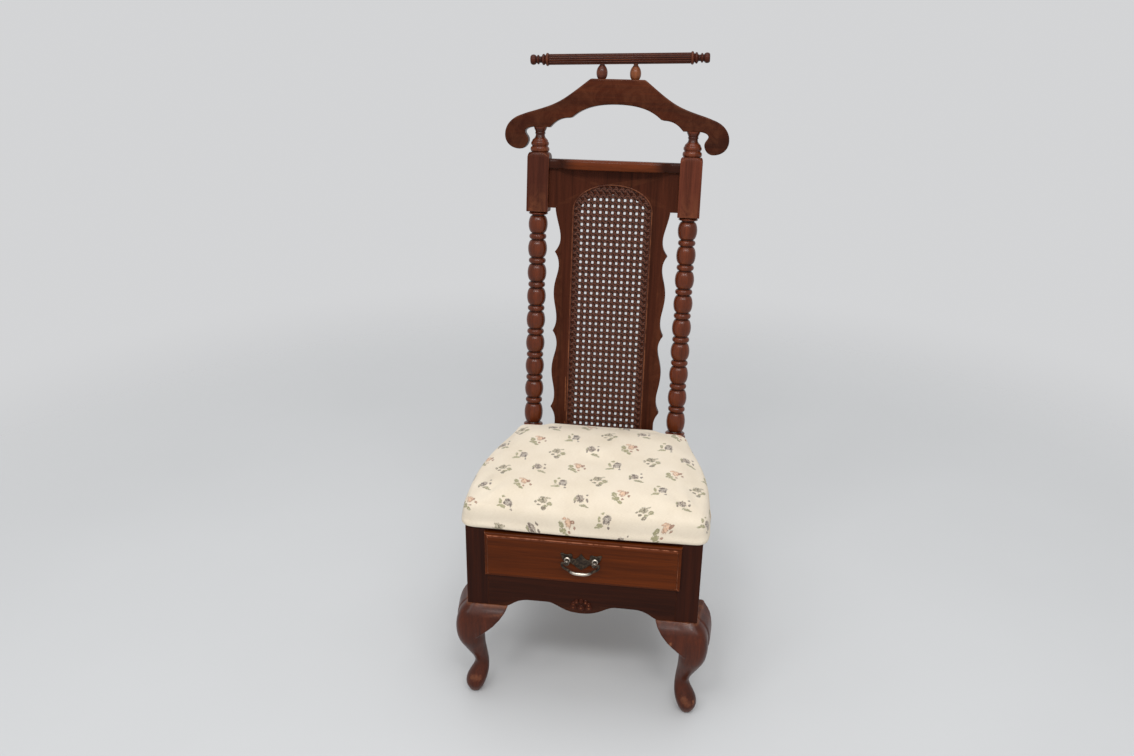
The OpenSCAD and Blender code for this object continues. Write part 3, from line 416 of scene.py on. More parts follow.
@dataclass(frozen=True)
class CaneStrand:
    """Stained cane, glossy on its skin, with painted shade where the strands dip under each other and along
    their sides.
    """

    name: str
    grain: Grain
    skin: Colour = srgb(92, 54, 40)
    dark: Colour = srgb(22, 10, 7)

    def dress(self) -> bpy.types.Material:
        """Returns the material."""
        b = Bench(self.name)
        place = b.place()
        grain = b.stretched(place, self.grain.value, (1.0, 1.0, 0.08))
        streak = b.noise(grain, 520.0, 3.0, 0.6)
        patch = b.noise(place, 38.0, 4.0, 0.65)
        rise = b.stored("proud")
        # Painted shade: darker where a strand dips under the others and along its sides.
        tone = b.clamped(streak * 0.30 + patch * 0.25 + rise * 0.62 - 0.12)
        colour = b.ramp(tone, (0.20, self.dark), (0.85, self.skin))
        return b.finish({"IOR": 1.5, "Coat Roughness": 0.25, "Specular IOR Level": 0.14},
                        {"Base Color": colour, "Roughness": 0.42 + patch * 0.18, "Coat Weight": rise * 0.08},
                        (streak, 0.00008))


@dataclass(frozen=True)
class AntiqueBrass:
    """Dark antique brass, bright where hands have rubbed it."""

    name: str
    dark: Colour = srgb(37, 30, 26)
    metal: Colour = srgb(86, 72, 58)
    bright: Colour = srgb(214, 204, 190)

    def dress(self) -> bpy.types.Material:
        """Returns the material."""
        b = Bench(self.name)
        place = b.place()
        patina = b.noise(place, 210.0, 4.0, 0.65)
        rub = b.stored("proud")
        bare = b.clamped(b.ease(patina * 0.55 + rub * 0.75, 0.50, 1.0))
        colour = b.blend(b.ease(patina, 0.35, 0.7), self.dark, self.metal)
        colour = b.blend(bare, colour, self.bright)
        return b.finish({"IOR": 1.5, "Specular IOR Level": 0.5},
                        {"Base Color": colour, "Metallic": b.clamped(0.75 + bare * 0.25),
                         "Roughness": 0.46 - bare * 0.20 + patina * 0.08},
                        (patina, 0.00012))


Spot = tuple[float, float, float, float, float]


@dataclass(frozen=True)
class Sprig:
    """A woven sprig of one colourway: a flower, its darker threads and its leaves.

    Each spot is an offset from the sprig's centre, its half sizes and its turn, in
    millimetres and degrees.
    """

    petal: Colour
    shade: Colour
    leaf: Colour
    petals: tuple[Spot, ...]
    flecks: tuple[Spot, ...]
    leaves: tuple[Spot, ...]


ROSE = Sprig(
    srgb(222, 182, 150), srgb(150, 106, 84), srgb(142, 138, 96),
    ((2.5, 8.0, 6.8, 9.5, 0.0), (-4.0, 16.0, 5.0, 2.6, 15.0)),
    ((10.5, 9.5, 3.4, 5.4, -25.0), (15.0, 0.0, 2.4, 3.6, 0.0), (3.5, -8.0, 2.8, 2.6, 0.0)),
    ((-12.0, 4.0, 5.0, 6.5, 15.0), (-7.0, -7.0, 5.6, 5.6, -30.0), (-1.0, -15.0, 5.0, 3.6, -35.0),
     (-14.0, -6.0, 2.6, 3.6, 0.0)))
BLUEBELL = Sprig(
    srgb(166, 156, 146), srgb(106, 94, 88), srgb(150, 146, 106),
    ((5.5, 3.0, 7.6, 10.0, -15.0),),
    ((4.0, 9.5, 5.0, 2.6, 10.0), (10.0, -3.0, 2.3, 5.6, 0.0), (11.0, -13.0, 2.3, 2.4, 0.0),
     (-0.5, -1.0, 2.0, 6.0, 0.0)),
    ((-4.0, 16.0, 3.6, 3.0, 10.0), (-9.0, 3.0, 3.0, 7.5, 10.0), (-6.5, -10.5, 7.2, 4.0, 5.0),
     (-13.5, -13.0, 3.0, 2.0, 0.0)))
ASTER = Sprig(
    srgb(170, 160, 136), srgb(112, 102, 84), srgb(142, 138, 100),
    ((-1.5, 9.5, 8.0, 8.8, 10.0), (8.0, 16.0, 4.4, 2.2, 10.0)),
    ((-1.0, 10.0, 2.0, 6.5, 0.0), (-14.0, 3.0, 2.6, 4.0, 0.0), (1.5, -13.0, 5.6, 4.4, 25.0),
     (-7.0, -4.5, 3.8, 3.0, 0.0)),
    ((12.0, 1.5, 5.4, 6.0, 25.0), (5.0, -6.0, 4.8, 3.6, 20.0), (-7.5, 7.0, 3.8, 3.8, 0.0)))
VIOLET = Sprig(
    srgb(166, 153, 140), srgb(102, 87, 80), srgb(140, 136, 100),
    ((-4.0, 6.0, 8.0, 10.0, 15.0),),
    ((-6.0, 9.5, 2.2, 5.4, 20.0), (-2.0, 2.0, 4.4, 2.4, 0.0), (8.5, 16.0, 2.2, 2.4, 0.0),
     (9.5, 3.0, 2.3, 4.6, 0.0), (-12.0, -2.5, 2.2, 4.0, 0.0)),
    ((3.5, -10.5, 7.4, 3.8, -10.0), (10.5, -14.5, 4.0, 2.2, -15.0), (-12.5, 5.0, 2.8, 5.6, 0.0)))


@dataclass(frozen=True)
class Tapestry:
    """Cream ribbed tapestry with woven sprigs in slanting rows."""

    name: str = "tapestry"
    ground: Colour = srgb(228, 215, 195)
    shade: Colour = srgb(213, 198, 175)
    fleck: Colour = srgb(176, 158, 132)
    origin: Point = (-145.7, -24.4)
    step: Point = (70.1, 17.3)
    row: Point = (24.6, 61.7)
    rib: float = 0.9
    pick: float = 0.75
    stitch: float = 0.95
    wander: float = 5.0
    ragged: float = 2.3
    cover: float = 0.86
    sprigs: tuple[Sprig, ...] = (BLUEBELL, ASTER, VIOLET, ROSE)

    def dress(self) -> bpy.types.Material:
        """Returns the material."""
        b = Bench(self.name)
        place = b.place()
        flat = b.stored("cloth", "Vector")
        across, along, _ = b.axes(flat)
        ribs = b.math("SINE", across * (2 * math.pi / self.rib))
        picks = b.math("SINE", along * (2 * math.pi / self.pick))
        weave = ribs * picks
        slub = b.noise(b.joined(across * 0.22, along * 1.6, 0.0), 1.0, 3.0, 0.6)
        cloud = b.noise(place, 14.0, 3.0, 0.5)
        colour = b.ramp(slub * 0.55 + cloud * 0.45, (0.34, self.shade), (0.58, self.ground))
        fleck = b.ease(b.noise(b.joined(across * 0.35, along * 0.5, 3.0), 1.0, 2.0, 0.6), 0.70, 0.78)
        colour = b.blend(fleck * 0.45, colour, self.fleck)
        stain = b.ease(b.noise(place, 7.5, 4.0, 0.6), 0.60, 0.78)
        colour = b.blend(stain * 0.16, colour, srgb(200, 176, 138))
        colour = self._sprigs(b, across, along, colour)
        colour = b.blend(b.clamped(weave * 0.5 + 0.5) * 0.08, colour, self.shade)
        return b.finish({"Sheen Weight": 0.15, "Sheen Roughness": 0.5, "IOR": 1.4, "Specular IOR Level": 0.2},
                        {"Base Color": colour, "Roughness": 0.86 + weave * 0.04},
                        (weave * 0.5 + slub * 0.9, 0.00025))

    def _sprigs(self, b: Bench, across: Wire, along: Wire, colour: Wire) -> Wire:
        """Lays the sprigs over a ground colour.

        Args:
            b: The material's bench.
            across: The cloth's x, in millimetres.
            along: The cloth's y, in millimetres.
            colour: The ground.

        Returns:
            The colour with the sprigs.
        """
        stitch = self.stitch
        x = (b.math("FLOOR", across / stitch) + 0.5) * stitch - self.origin[0]
        y = (b.math("FLOOR", along / stitch) + 0.5) * stitch - self.origin[1]
        size = self.step[0] * self.row[1] - self.step[1] * self.row[0]
        i = (x * self.row[1] - y * self.row[0]) / size
        j = (y * self.step[0] - x * self.step[1]) / size
        near_i = b.math("ROUND", i)
        near_j = b.math("ROUND", j)
        wander = b.noise(b.joined(x * 0.11, y * 0.11, 1.0), 1.0, 1.0, 0.5) - 0.5
        dx = x - (near_i * self.step[0] + near_j * self.row[0]) + wander * self.wander
        dy = y - (near_i * self.step[1] + near_j * self.row[1]) - wander * self.wander
        kind = (near_i - near_j + 0.25) % 4.0
        thread = b.noise(b.joined(x * 0.42, y * 0.42, 0.0), 1.0, 2.0, 0.6)
        gaps = b.ease(b.noise(b.joined(x * 0.36, y * 0.36, 7.0), 1.0, 1.0, 0.5), 0.31, 0.41)
        for index, sprig in enumerate(self.sprigs):
            on = (kind > float(index)) * (kind < float(index + 1))
            for spots, tint, dark in ((sprig.leaves, sprig.leaf, shaded(sprig.leaf, 0.66)),
                                      (sprig.petals, sprig.petal, sprig.shade),
                                      (sprig.flecks, sprig.shade, shaded(sprig.shade, 0.7))):
                depth = self._spots(b, dx, dy, spots) + (thread - 0.5) * self.ragged
                rim = 1.0 - b.ease(depth, 0.30, 0.60)
                woven = b.blend(b.math("MAXIMUM", b.ease(thread, 0.52, 0.60), rim * 0.8), tint, dark)
                colour = b.blend(b.ease(depth, 0.0, 0.22) * on * gaps * self.cover, colour, woven)
        return colour

    @staticmethod
    def _spots(b: Bench, dx: Wire, dy: Wire, spots: Iterable[Spot]) -> Wire:
        """Marks the insides of oval spots.

        Args:
            b: The material's bench.
            dx: Offset from the sprig's centre across the cloth.
            dy: Offset from the sprig's centre along the cloth.
            spots: The spots.

        Returns:
            A value above 0 inside any of them.
        """
        best: Optional[Wire] = None
        for x, y, long, short, angle in spots:
            c, s = math.cos(math.radians(angle)), math.sin(math.radians(angle))
            u = (dx * c + dy * s - (x * c + y * s)) * (1 / long)
            v = (dy * c - dx * s - (y * c - x * s)) * (1 / short)
            inside = 1.0 - (u * u + v * v)
            best = inside if best is None else b.math("MAXIMUM", best, inside)
        return best


@dataclass(frozen=True)
class PaleGround:
    """A pale plain floor that fades into the backdrop away from the chair."""

    name: str = "pale_ground"
    colour: Colour = (0.545, 0.55, 0.555)
    fade: Point = (1.15, 2.6)

    def dress(self) -> bpy.types.Material:
        """Returns the material."""
        b = Bench(self.name)
        place = b.place()
        mottle = b.noise(place, 2.0, 3.0, 0.5)
        colour = b.ramp(mottle, (0.3, shaded(self.colour, 0.98)), (0.7, self.colour))
        reach = b.vector_math("LENGTH", place, out="Value")
        solid = 1.0 - b.ease(reach, self.fade[0], self.fade[1])
        return b.finish({"IOR": 1.4, "Specular IOR Level": 0.1},
                        {"Base Color": colour, "Roughness": 0.85 + mottle * 0.05, "Alpha": solid})


# ---------------------------------------------------------------------- mesh making

@dataclass(frozen=True)
class Datum:
    """The planes that every sub-assembly measures from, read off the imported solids."""

    front: float
    seat: float
    depth: float
    rake: float = RAKE

    @classmethod
    def read(cls) -> "Datum":
        """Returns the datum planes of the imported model."""
        low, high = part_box("front_stile_left")
        back_low, back_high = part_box("back_rail")
        return cls(low.y, high.z, (back_low.y + back_high.y) / 2 - low.y)

    def chair(self) -> Matrix:
        """Returns the frame whose y is 0 at the case's front face, in millimetres."""
        return Matrix.Translation((0, self.front, 0)) @ Matrix.Scale(MM, 4)

    def leaning(self) -> Matrix:
        """Returns the posts' raked frame, from the top of the seat frame, in millimetres."""
        lift = Matrix.Translation((0, self.front + self.depth, self.seat))
        return lift @ Matrix.Rotation(-self.rake, 4, "X") @ Matrix.Scale(MM, 4)


def linked(name: str, data: bpy.types.ID) -> bpy.types.Object:
    """Makes an object of its data, and links it to the scene."""
    obj = bpy.data.objects.new(name, data)
    bpy.context.scene.collection.objects.link(obj)
    return obj


def copied(node: str, name: str) -> bpy.types.Object:
    """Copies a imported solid, without its material."""
    obj = linked(name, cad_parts[node].data.copy())
    obj.data.materials.clear()
    return obj


@contextmanager
def editing(mesh: bpy.types.Mesh) -> Iterator[bmesh.types.BMesh]:
    """Opens a mesh for editing, and keeps what was edited."""
    bm = bmesh.new()
    bm.from_mesh(mesh)
    yield bm
    bm.to_mesh(mesh)
    bm.free()


def to_object(name: str, skin: Skin, place: Matrix, sharp: Optional[float] = 38.0) -> bpy.types.Object:
    """Makes an object of points and faces.

    Args:
        name: The piece's name.
        skin: Points in the frame of place, and faces as lists of point numbers.
        place: The frame that the points are in.
        sharp: Faces that meet at more than this angle show an edge; None leaves all smooth.

    Returns:
        The object, with its points in the row frame.
    """
    verts, faces = skin
    mesh = bpy.data.meshes.new(name)
    mesh.from_pydata([tuple(place @ Vector(v)) for v in verts], [], [tuple(f) for f in faces])
    mesh.validate()
    return settled(linked(name, mesh), sharp)


def settled(obj: bpy.types.Object, sharp: Optional[float] = 38.0) -> bpy.types.Object:
    """Points a mesh's faces outwards and shades it smooth but for its sharp edges."""
    with editing(obj.data) as bm:
        bmesh.ops.recalc_face_normals(bm, faces=bm.faces)
    obj.data.shade_smooth()
    if sharp is not None:
        obj.data.set_sharp_from_angle(angle=math.radians(sharp))
    return obj


def loft(rings: Sequence[np.ndarray], closed: bool = False) -> Skin:
    """Skins rings of equal length.

    Args:
        rings: The rings, each an array of points.
        closed: True joins the last ring to the first, instead of capping both ends.

    Returns:
        Points and faces.
    """
    n, count = len(rings[0]), len(rings)
    verts = np.concatenate([np.asarray(r, float) for r in rings])
    faces: list[tuple[int, ...]] = []
    for i in range(count if closed else count - 1):
        a, c = i * n, ((i + 1) % count) * n
        for j in range(n):
            k = (j + 1) % n
            faces.append((a + j, a + k, c + k, c + j))
    if not closed:
        faces.append(tuple(range(n))[::-1])
        faces.append(tuple(range((count - 1) * n, count * n)))
    return verts, faces


def turned(name: str, profile: Sequence[Point], place: Matrix, sides: int = 72,
           sharp: float = 40.0) -> bpy.types.Object:
    """Turns a profile round the Z axis of place, and marks what stands proud.

    Args:
        name: The piece's name.
        profile: Radius and height of each point.
        place: The frame that it is turned in.
        sides: Faces round the piece.
        sharp: Faces that meet at more than this angle show an edge.

    Returns:
        The piece.
    """
    profile = [p for i, p in enumerate(profile) if i == 0 or math.dist(p, profile[i - 1]) > 1e-4]
    angle = np.linspace(0, 2 * math.pi, sides, endpoint=False)
    circle = np.stack([np.cos(angle), np.sin(angle), np.zeros(sides)], 1)
    rings = [circle * max(r, 0.01) + [0, 0, z] for r, z in profile]
    obj = to_object(name, loft(rings), place, sharp)
    radii = [r for r, _ in profile]
    low, high = np.percentile(radii, 12), max(radii)
    proud = np.clip((np.repeat(radii, sides) - low) / (high - low), 0, 1)
    keep_value(obj, "proud", proud)
    return obj


def keep_value(obj: bpy.types.Object, name: str, values: np.ndarray) -> None:
    """Stores a value, or a vector, at every point of a mesh."""
    kind, slot = ("FLOAT_VECTOR", "vector") if values.ndim == 2 else ("FLOAT", "value")
    layer = obj.data.attributes.get(name) or obj.data.attributes.new(name, kind, "POINT")
    layer.data.foreach_set(slot, np.ascontiguousarray(values, np.float32).ravel())


def evaluated(obj: bpy.types.Object) -> bpy.types.Object:
    """Applies an object's modifiers, or turns a curve into a mesh, and returns the object."""
    graph = bpy.context.evaluated_depsgraph_get()
    mesh = bpy.data.meshes.new_from_object(obj.evaluated_get(graph), depsgraph=graph)
    if obj.type == "MESH":
        obj.modifiers.clear()
        obj.data = mesh
        return obj
    fresh = linked(obj.name + "_cut", mesh)
    name = obj.name
    bpy.data.objects.remove(obj)
    fresh.name = name
    return fresh


def board(name: str, outlines: Sequence[Sequence[Point]], span: tuple[float, float], edge: float,
          place: Matrix, steps: int = 4) -> bpy.types.Object:
    """Cuts a board to its outlines and rounds its edges.

    Args:
        name: The piece's name.
        outlines: Closed outlines in x and height; the later ones are windows.
        span: Lowest and highest y, in the frame of place.
        edge: Radius of the rounded edges.
        place: The frame that the board is drawn in.
        steps: Faces across a rounded edge.

    Returns:
        The board.
    """
    curve = bpy.data.curves.new(name, "CURVE")
    curve.dimensions, curve.fill_mode = "2D", "BOTH"
    curve.extrude = (span[1] - span[0]) / 2 - edge
    curve.bevel_depth, curve.bevel_resolution, curve.offset = edge, steps, -edge
    for outline in outlines:
        points = [p for i, p in enumerate(outline) if math.dist(p, outline[i - 1]) > 0.02]
        spline = curve.splines.new("POLY")
        spline.points.add(len(points) - 1)
        spline.points.foreach_set("co", [v for p in points for v in (p[0], p[1], 0.0, 1.0)])
        spline.use_cyclic_u = True
    obj = evaluated(linked(name, curve))
    middle = Matrix.Translation((0, (span[0] + span[1]) / 2, 0))
    obj.data.transform(place @ middle @ Matrix.Rotation(math.pi / 2, 4, "X"))
    weld(obj, 2e-6)
    mark_edges(obj, edge * MM)
    settled(obj, 50.0)
    return flat_shaded_faces(obj)


def weld(obj: bpy.types.Object, gap: float, flat: Optional[float] = None) -> None:
    """Joins points that lie close together, and dissolves edges within flat faces.

    Args:
        obj: The object, which is changed.
        gap: Points closer than this are joined, in metres.
        flat: Faces that meet at less than this angle become one; None leaves them.
    """
    with editing(obj.data) as bm:
        bmesh.ops.remove_doubles(bm, verts=bm.verts, dist=gap)
        if flat is not None:
            bmesh.ops.dissolve_limit(bm, angle_limit=math.radians(flat), verts=bm.verts, edges=bm.edges,
                                     use_dissolve_boundaries=False, delimit={"NORMAL"})


def mark_edges(obj: bpy.types.Object, radius: float) -> None:
    """Marks the points on rounded edges, where lacquer rubs off."""
    mesh = obj.data
    bm = bmesh.new()
    bm.from_mesh(mesh)
    bm.normal_update()
    value = np.zeros(len(bm.verts))
    broad = {f for f in bm.faces if f.calc_area() > 1.2 * radius * max(e.calc_length() for e in f.edges)}
    for v in bm.verts:
        if not broad.isdisjoint(v.link_faces):
            continue
        small = [f.normal for f in v.link_faces]
        spread = max((a.angle(b, 0.0) for i, a in enumerate(small) for b in small[i + 1:]), default=0.0)
        value[v.index] = min(1.0, spread / math.radians(24))
    bm.free()
    keep_value(obj, "edge", value)


def flat_shaded_faces(obj: bpy.types.Object) -> bpy.types.Object:
    """Lets the large faces set the shading of a board's corners."""
    modifier = obj.modifiers.new("weighted", "WEIGHTED_NORMAL")
    modifier.keep_sharp = True
    modifier.weight = 80
    return obj


def softened(node: str, name: str, edge: float, segments: int = 3) -> bpy.types.Object:
    """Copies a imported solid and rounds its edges.

    Args:
        node: The solid's name.
        name: The new piece's name.
        edge: Radius of the rounded edges, in millimetres.
        segments: Faces across a rounded edge.

    Returns:
        The new piece.
    """
    obj = copied(node, name)
    weld(obj, 1e-6, 0.4)
    modifier = obj.modifiers.new("rounded", "BEVEL")
    modifier.width, modifier.segments = edge * MM, segments
    modifier.limit_method, modifier.angle_limit = "ANGLE", math.radians(42)
    modifier.use_clamp_overlap = True
    evaluated(obj)
    mark_edges(obj, edge * MM)
    settled(obj, 50.0)
    return flat_shaded_faces(obj)


def curve(a: Point, b: Point, c: Point, d: Point, n: int = 16) -> list[Point]:
    """Draws a cubic curve.

    Args:
        a: Its start.
        b: The start's handle.
        c: The end's handle.
        d: Its end.
        n: Number of points.

    Returns:
        The points, without the end.
    """
    points = []
    for i in range(n):
        u, v = i / n, 1 - i / n
        points.append(tuple(v ** 3 * p + 3 * v * v * u * q + 3 * v * u * u * r + u ** 3 * s
                            for p, q, r, s in zip(a, b, c, d)))
    return points


def chain(start: Point, *arcs: tuple[Point, Point, Point, int]) -> list[Point]:
    """Draws curves that follow each other.

    Args:
        start: Where the first curve starts.
        arcs: Each curve's two handles, its end and its number of points.

    Returns:
        The points, without the last curve's end.
    """
    points = []
    for leave, arrive, end, count in arcs:
        points += curve(start, leave, arrive, end, count)
        start = end
    return points


def both(half: Sequence[Point]) -> list[Point]:
    """Returns a half outline with its mirror image, in drawing order."""
    return list(half) + [(-x, z) for x, z in reversed(half)]


def swell(r0: float, r: float, z0: float, z1: float, n: int = 16, power: float = 2.0) -> list[Point]:
    """Draws the profile of a bead.

    Args:
        r0: Radius at both ends.
        r: Radius at the middle.
        z0: Height of its foot.
        z1: Height of its top.
        n: Faces from foot to top.
        power: 2 gives an ellipse, and less gives a leaner bead.

    Returns:
        Radius and height of each point.
    """
    points = []
    for i in range(n + 1):
        u = -math.cos(math.pi * i / n)
        points.append((r0 + (r - r0) * (1 - abs(u) ** power) ** (1 / power), z0 + (z1 - z0) * (u + 1) / 2))
    return points


# ------------------------------------------------------------------- sub-assemblies

@dataclass
class Assembly:
    """A group of pieces that ride on one body."""

    datum: Datum
    body = "chair"

    def __post_init__(self) -> None:
        """Starts with no pieces."""
        self.made: list[bpy.types.Object] = []

    def add(self, obj: bpy.types.Object, material: bpy.types.Material, slot: str,
            *nodes: str) -> bpy.types.Object:
        """Dresses a piece, lets it ride and says which solids it stands for.

        Args:
            obj: The piece.
            material: Its finish.
            slot: Not used.
            nodes: The solids that it replaces.

        Returns:
            The piece.
        """
        obj.data.materials.clear()
        obj.data.materials.append(material)
        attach(obj, self.body)
        if nodes:
            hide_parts(*nodes)
        self.made.append(obj)
        LOG.info("%s: %d faces, stands for %s", obj.name, len(obj.data.polygons),
                 ", ".join(nodes) or "nothing")
        return obj

    def soften(self, nodes: Iterable[str], material: bpy.types.Material, slot: str, edge: float) -> None:
        """Replaces solids by copies with rounded edges, of this radius in millimetres."""
        for node in nodes:
            self.add(softened(node, node + "_piece", edge), material, slot, node)


SIDES = {"left": -1, "right": 1}


@dataclass
class FrontLegs(Assembly):
    """Cabriole legs, each blended into its knee blocks."""

    leg_h: float = 212.0
    half_w: float = 218.5
    foot_r: float = 20.4
    ankle_r: float = 13.8
    knee_r: float = 27.4
    top_r: float = 24.5
    knee_out: float = 23.7
    ear_start: float = 20.0
    ear_l: float = 77.5
    ear_h: float = 64.0
    ear_tip: float = 2.0
    frame_t: float = 22.0
    post_out: float = 175.0
    post_front: float = 340.0
    voxel: float = 1.5

    def stations(self) -> np.ndarray:
        """Returns share of height, setback, half width and squareness up the leg."""
        foot, ankle, knee, top = self.foot_r, self.ankle_r, self.knee_r, self.top_r
        bow = knee - self.knee_out
        return np.array([
            (0.000, 8.5, foot - 11.4, 2.0), (0.040, 8.6, foot - 5.5, 2.0), (0.090, 9.2, foot - 1.4, 2.0),
            (0.145, 11.8, foot, 2.0), (0.195, 15.4, foot - 1.6, 2.0), (0.245, 18.8, ankle + 2.2, 2.0),
            (0.300, 20.6, ankle, 2.0), (0.365, 18.7, ankle + 0.9, 2.0), (0.440, 14.3, ankle + 3.9, 2.0),
            (0.520, bow + 5.9, knee - 6.3, 2.1), (0.600, bow + 2.0, knee - 2.9, 2.3),
            (0.680, bow + 0.1, knee - 1.1, 2.5), (0.760, bow + 1.6, knee + 1.6, 2.8),
            (0.825, bow + 4.6, knee + 3.7, 3.0), (0.870, bow + 7.7, knee + 4.6, 3.1),
            (0.908, bow + 10.6, knee + 4.1, 3.3), (0.940, bow + 13.6, knee + 2.3, 3.5),
            (1.000, top - 0.5, top, 4.0)])

    def swelling(self, below: np.ndarray) -> np.ndarray:
        """Returns how far the knee stands out at a distance below the case."""
        places = (0, 0.031, 0.060, 0.092, 0.130, 0.175, 0.240, 0.320, 0.400)
        shares = (0.02, 0.27, 0.52, 0.73, 0.87, 0.96, 1.0, 0.95, 0.81)
        return self.knee_out * np.interp(below / self.leg_h, places, shares)

    @staticmethod
    def smooth(rows: np.ndarray, i: int, u: float) -> np.ndarray:
        """Reads a table between two rows, on a smooth line through all.

        Args:
            rows: The table.
            i: The row before the wanted place.
            u: Share of the way to the next row.

        Returns:
            The row at that place.
        """
        a, b = rows[max(i - 1, 0)], rows[i]
        c, d = rows[min(i + 1, len(rows) - 1)], rows[min(i + 2, len(rows) - 1)]
        return b + u * ((c - a) + u * ((2 * a - 5 * b + 4 * c - d) + u * (3 * b - 3 * c + d - a))) / 2

    def ring(self, station: np.ndarray, sides: int = 56) -> np.ndarray:
        """Returns the leg's section at a station."""
        share, centre, radius, power = station
        a = np.linspace(0, 2 * math.pi, sides, endpoint=False)
        r = radius / (np.abs(np.cos(a)) ** power + np.abs(np.sin(a)) ** power) ** (1 / power)
        height = np.full(sides, share * self.leg_h)
        return np.stack([centre + r * np.cos(a), centre + r * np.sin(a), height], 1)

    def ear(self, start: float, end: float, turn: bool) -> Skin:
        """Skins the swell beside the knee, from start to end along the case.

        Args:
            start: Distance of its first section from the case's corner.
            end: Distance of its last section.
            turn: True lays it along the side panel.

        Returns:
            Points and faces.
        """
        rings = []
        for a in np.linspace(start, end, 28):
            height = self.ear_tip + self.ear_h * ((self.ear_l - a) / (self.ear_l - self.ear_start)) ** 0.75
            below = np.linspace(0, height, 24)
            section = list(zip(-self.swelling(below), self.leg_h - below))
            section += [(self.frame_t, self.leg_h - height), (self.frame_t, self.leg_h)]
            rings.append([(a, y, z) for y, z in section])
        verts, faces = loft([np.array(r) for r in rings])
        if turn:
            angle = math.atan((self.half_w - self.post_out) / (self.post_front - self.frame_t))
            y, x, z = verts.T
            c, s = math.cos(angle), math.sin(angle)
            verts = np.stack([x * c - y * s, x * s + y * c, z], 1)
        return verts, faces

    def build(self) -> None:
        """Makes both legs."""
        rows = self.stations()
        rings = [self.ring(self.smooth(rows, i, k / 6)) for i in range(len(rows) - 1) for k in range(6)]
        parts = [loft(rings + [self.ring(rows[-1])])]
        parts += [self.ear(self.ear_start, self.ear_l, turn) for turn in (False, True)]
        for side, sign in SIDES.items():
            corner = (self.datum.chair() @ Matrix.Translation((sign * self.half_w, 0, 0))
                      @ Matrix.Diagonal((-sign, 1, 1, 1)))
            self.add(self.carved(f"leg_{side}", parts, corner), self.finish(side, sign), "mahogany",
                     f"front_leg_{side}", f"knee_block_front_{side}", f"knee_block_side_{side}")

    def carved(self, name: str, parts: Sequence[tuple], place: Matrix) -> bpy.types.Object:
        """Joins the leg and its swells into one smooth carved piece.

        Args:
            name: The piece's name.
            parts: Points and faces of each closed part.
            place: The frame at the case's corner.

        Returns:
            The leg.
        """
        verts, faces, base = [], [], 0
        for points, polys in parts:
            verts.append(points)
            faces += [tuple(i + base for i in f) for f in polys]
            base += len(points)
        obj = to_object(name, (np.concatenate(verts), faces), place, None)
        remesh = obj.modifiers.new("carve", "REMESH")
        remesh.mode, remesh.voxel_size = "VOXEL", self.voxel * MM
        evaluated(obj)
        top = self.leg_h * MM
        group = obj.vertex_groups.new(name="free")
        for v in obj.data.vertices:
            below = (top - v.co.z) / MM
            group.add([v.index], float(np.clip((below - 1.0) / 4.0, 0.25, 1.0)), "REPLACE")
        smooth = obj.modifiers.new("sand", "SMOOTH")
        smooth.factor, smooth.iterations, smooth.vertex_group = 0.5, 9, "free"
        evaluated(obj)
        for v in obj.data.vertices:
            v.co.z = min(v.co.z, top)
        height = np.array([v.co.z for v in obj.data.vertices])
        # The few millimetres under the case count as a rubbed edge: wear, and a painted highlight on the
        # knee's top; the lowest part of the foot is rubbed too.
        ledge = np.clip((height - top + 0.006) / 0.004, 0, 1) * 0.8
        keep_value(obj, "edge", np.maximum(ledge, np.clip((0.012 - height) / 0.008, 0, 1)))
        return settled(obj, 60.0)

    def finish(self, side: str, sign: int) -> bpy.types.Material:
        """Returns one leg's lacquer, rubbed on the knee and the foot, with painted highlights on the left
        knee's top and on both toes.
        """
        front = self.datum.front
        scars_and_highlights = {
            # Left: a painted highlight along the knee's top, and a painted highlight on the toe.
            "left": (ScarOrHighlight((-0.185, front - 0.020, 0.196), (-0.150, front - 0.014, 0.200), 0.006, 0.35),
                     ScarOrHighlight((-0.214, front - 0.004, 0.036), (-0.200, front - 0.005, 0.036), 0.011, 0.35)),
            # Right: a rubbed patch on the knee, a painted highlight on the toe, wear on the toe's edge and a
            # scratch.
            "right": (ScarOrHighlight((0.172, front - 0.022, 0.176), (0.166, front - 0.018, 0.160), 0.005, 0.75),
                      ScarOrHighlight((0.203, front - 0.005, 0.036), (0.212, front - 0.007, 0.026), 0.011, 0.35),
                      ScarOrHighlight((0.222, front - 0.001, 0.030), (0.218, front - 0.003, 0.008), 0.005, 0.70),
                      ScarOrHighlight((0.190, front - 0.024, 0.120), (0.202, front - 0.024, 0.121), 0.0012, 0.6)),
        }[side]
        return Lacquered(f"leg_lacquer_{side}", Grain.UPRIGHT, srgb(66, 26, 10), seed=3.0 + sign, wear_and_highlight=0.55,
                         scars_and_highlights=scars_and_highlights, gloss=0.28, shine=0.17).dress()


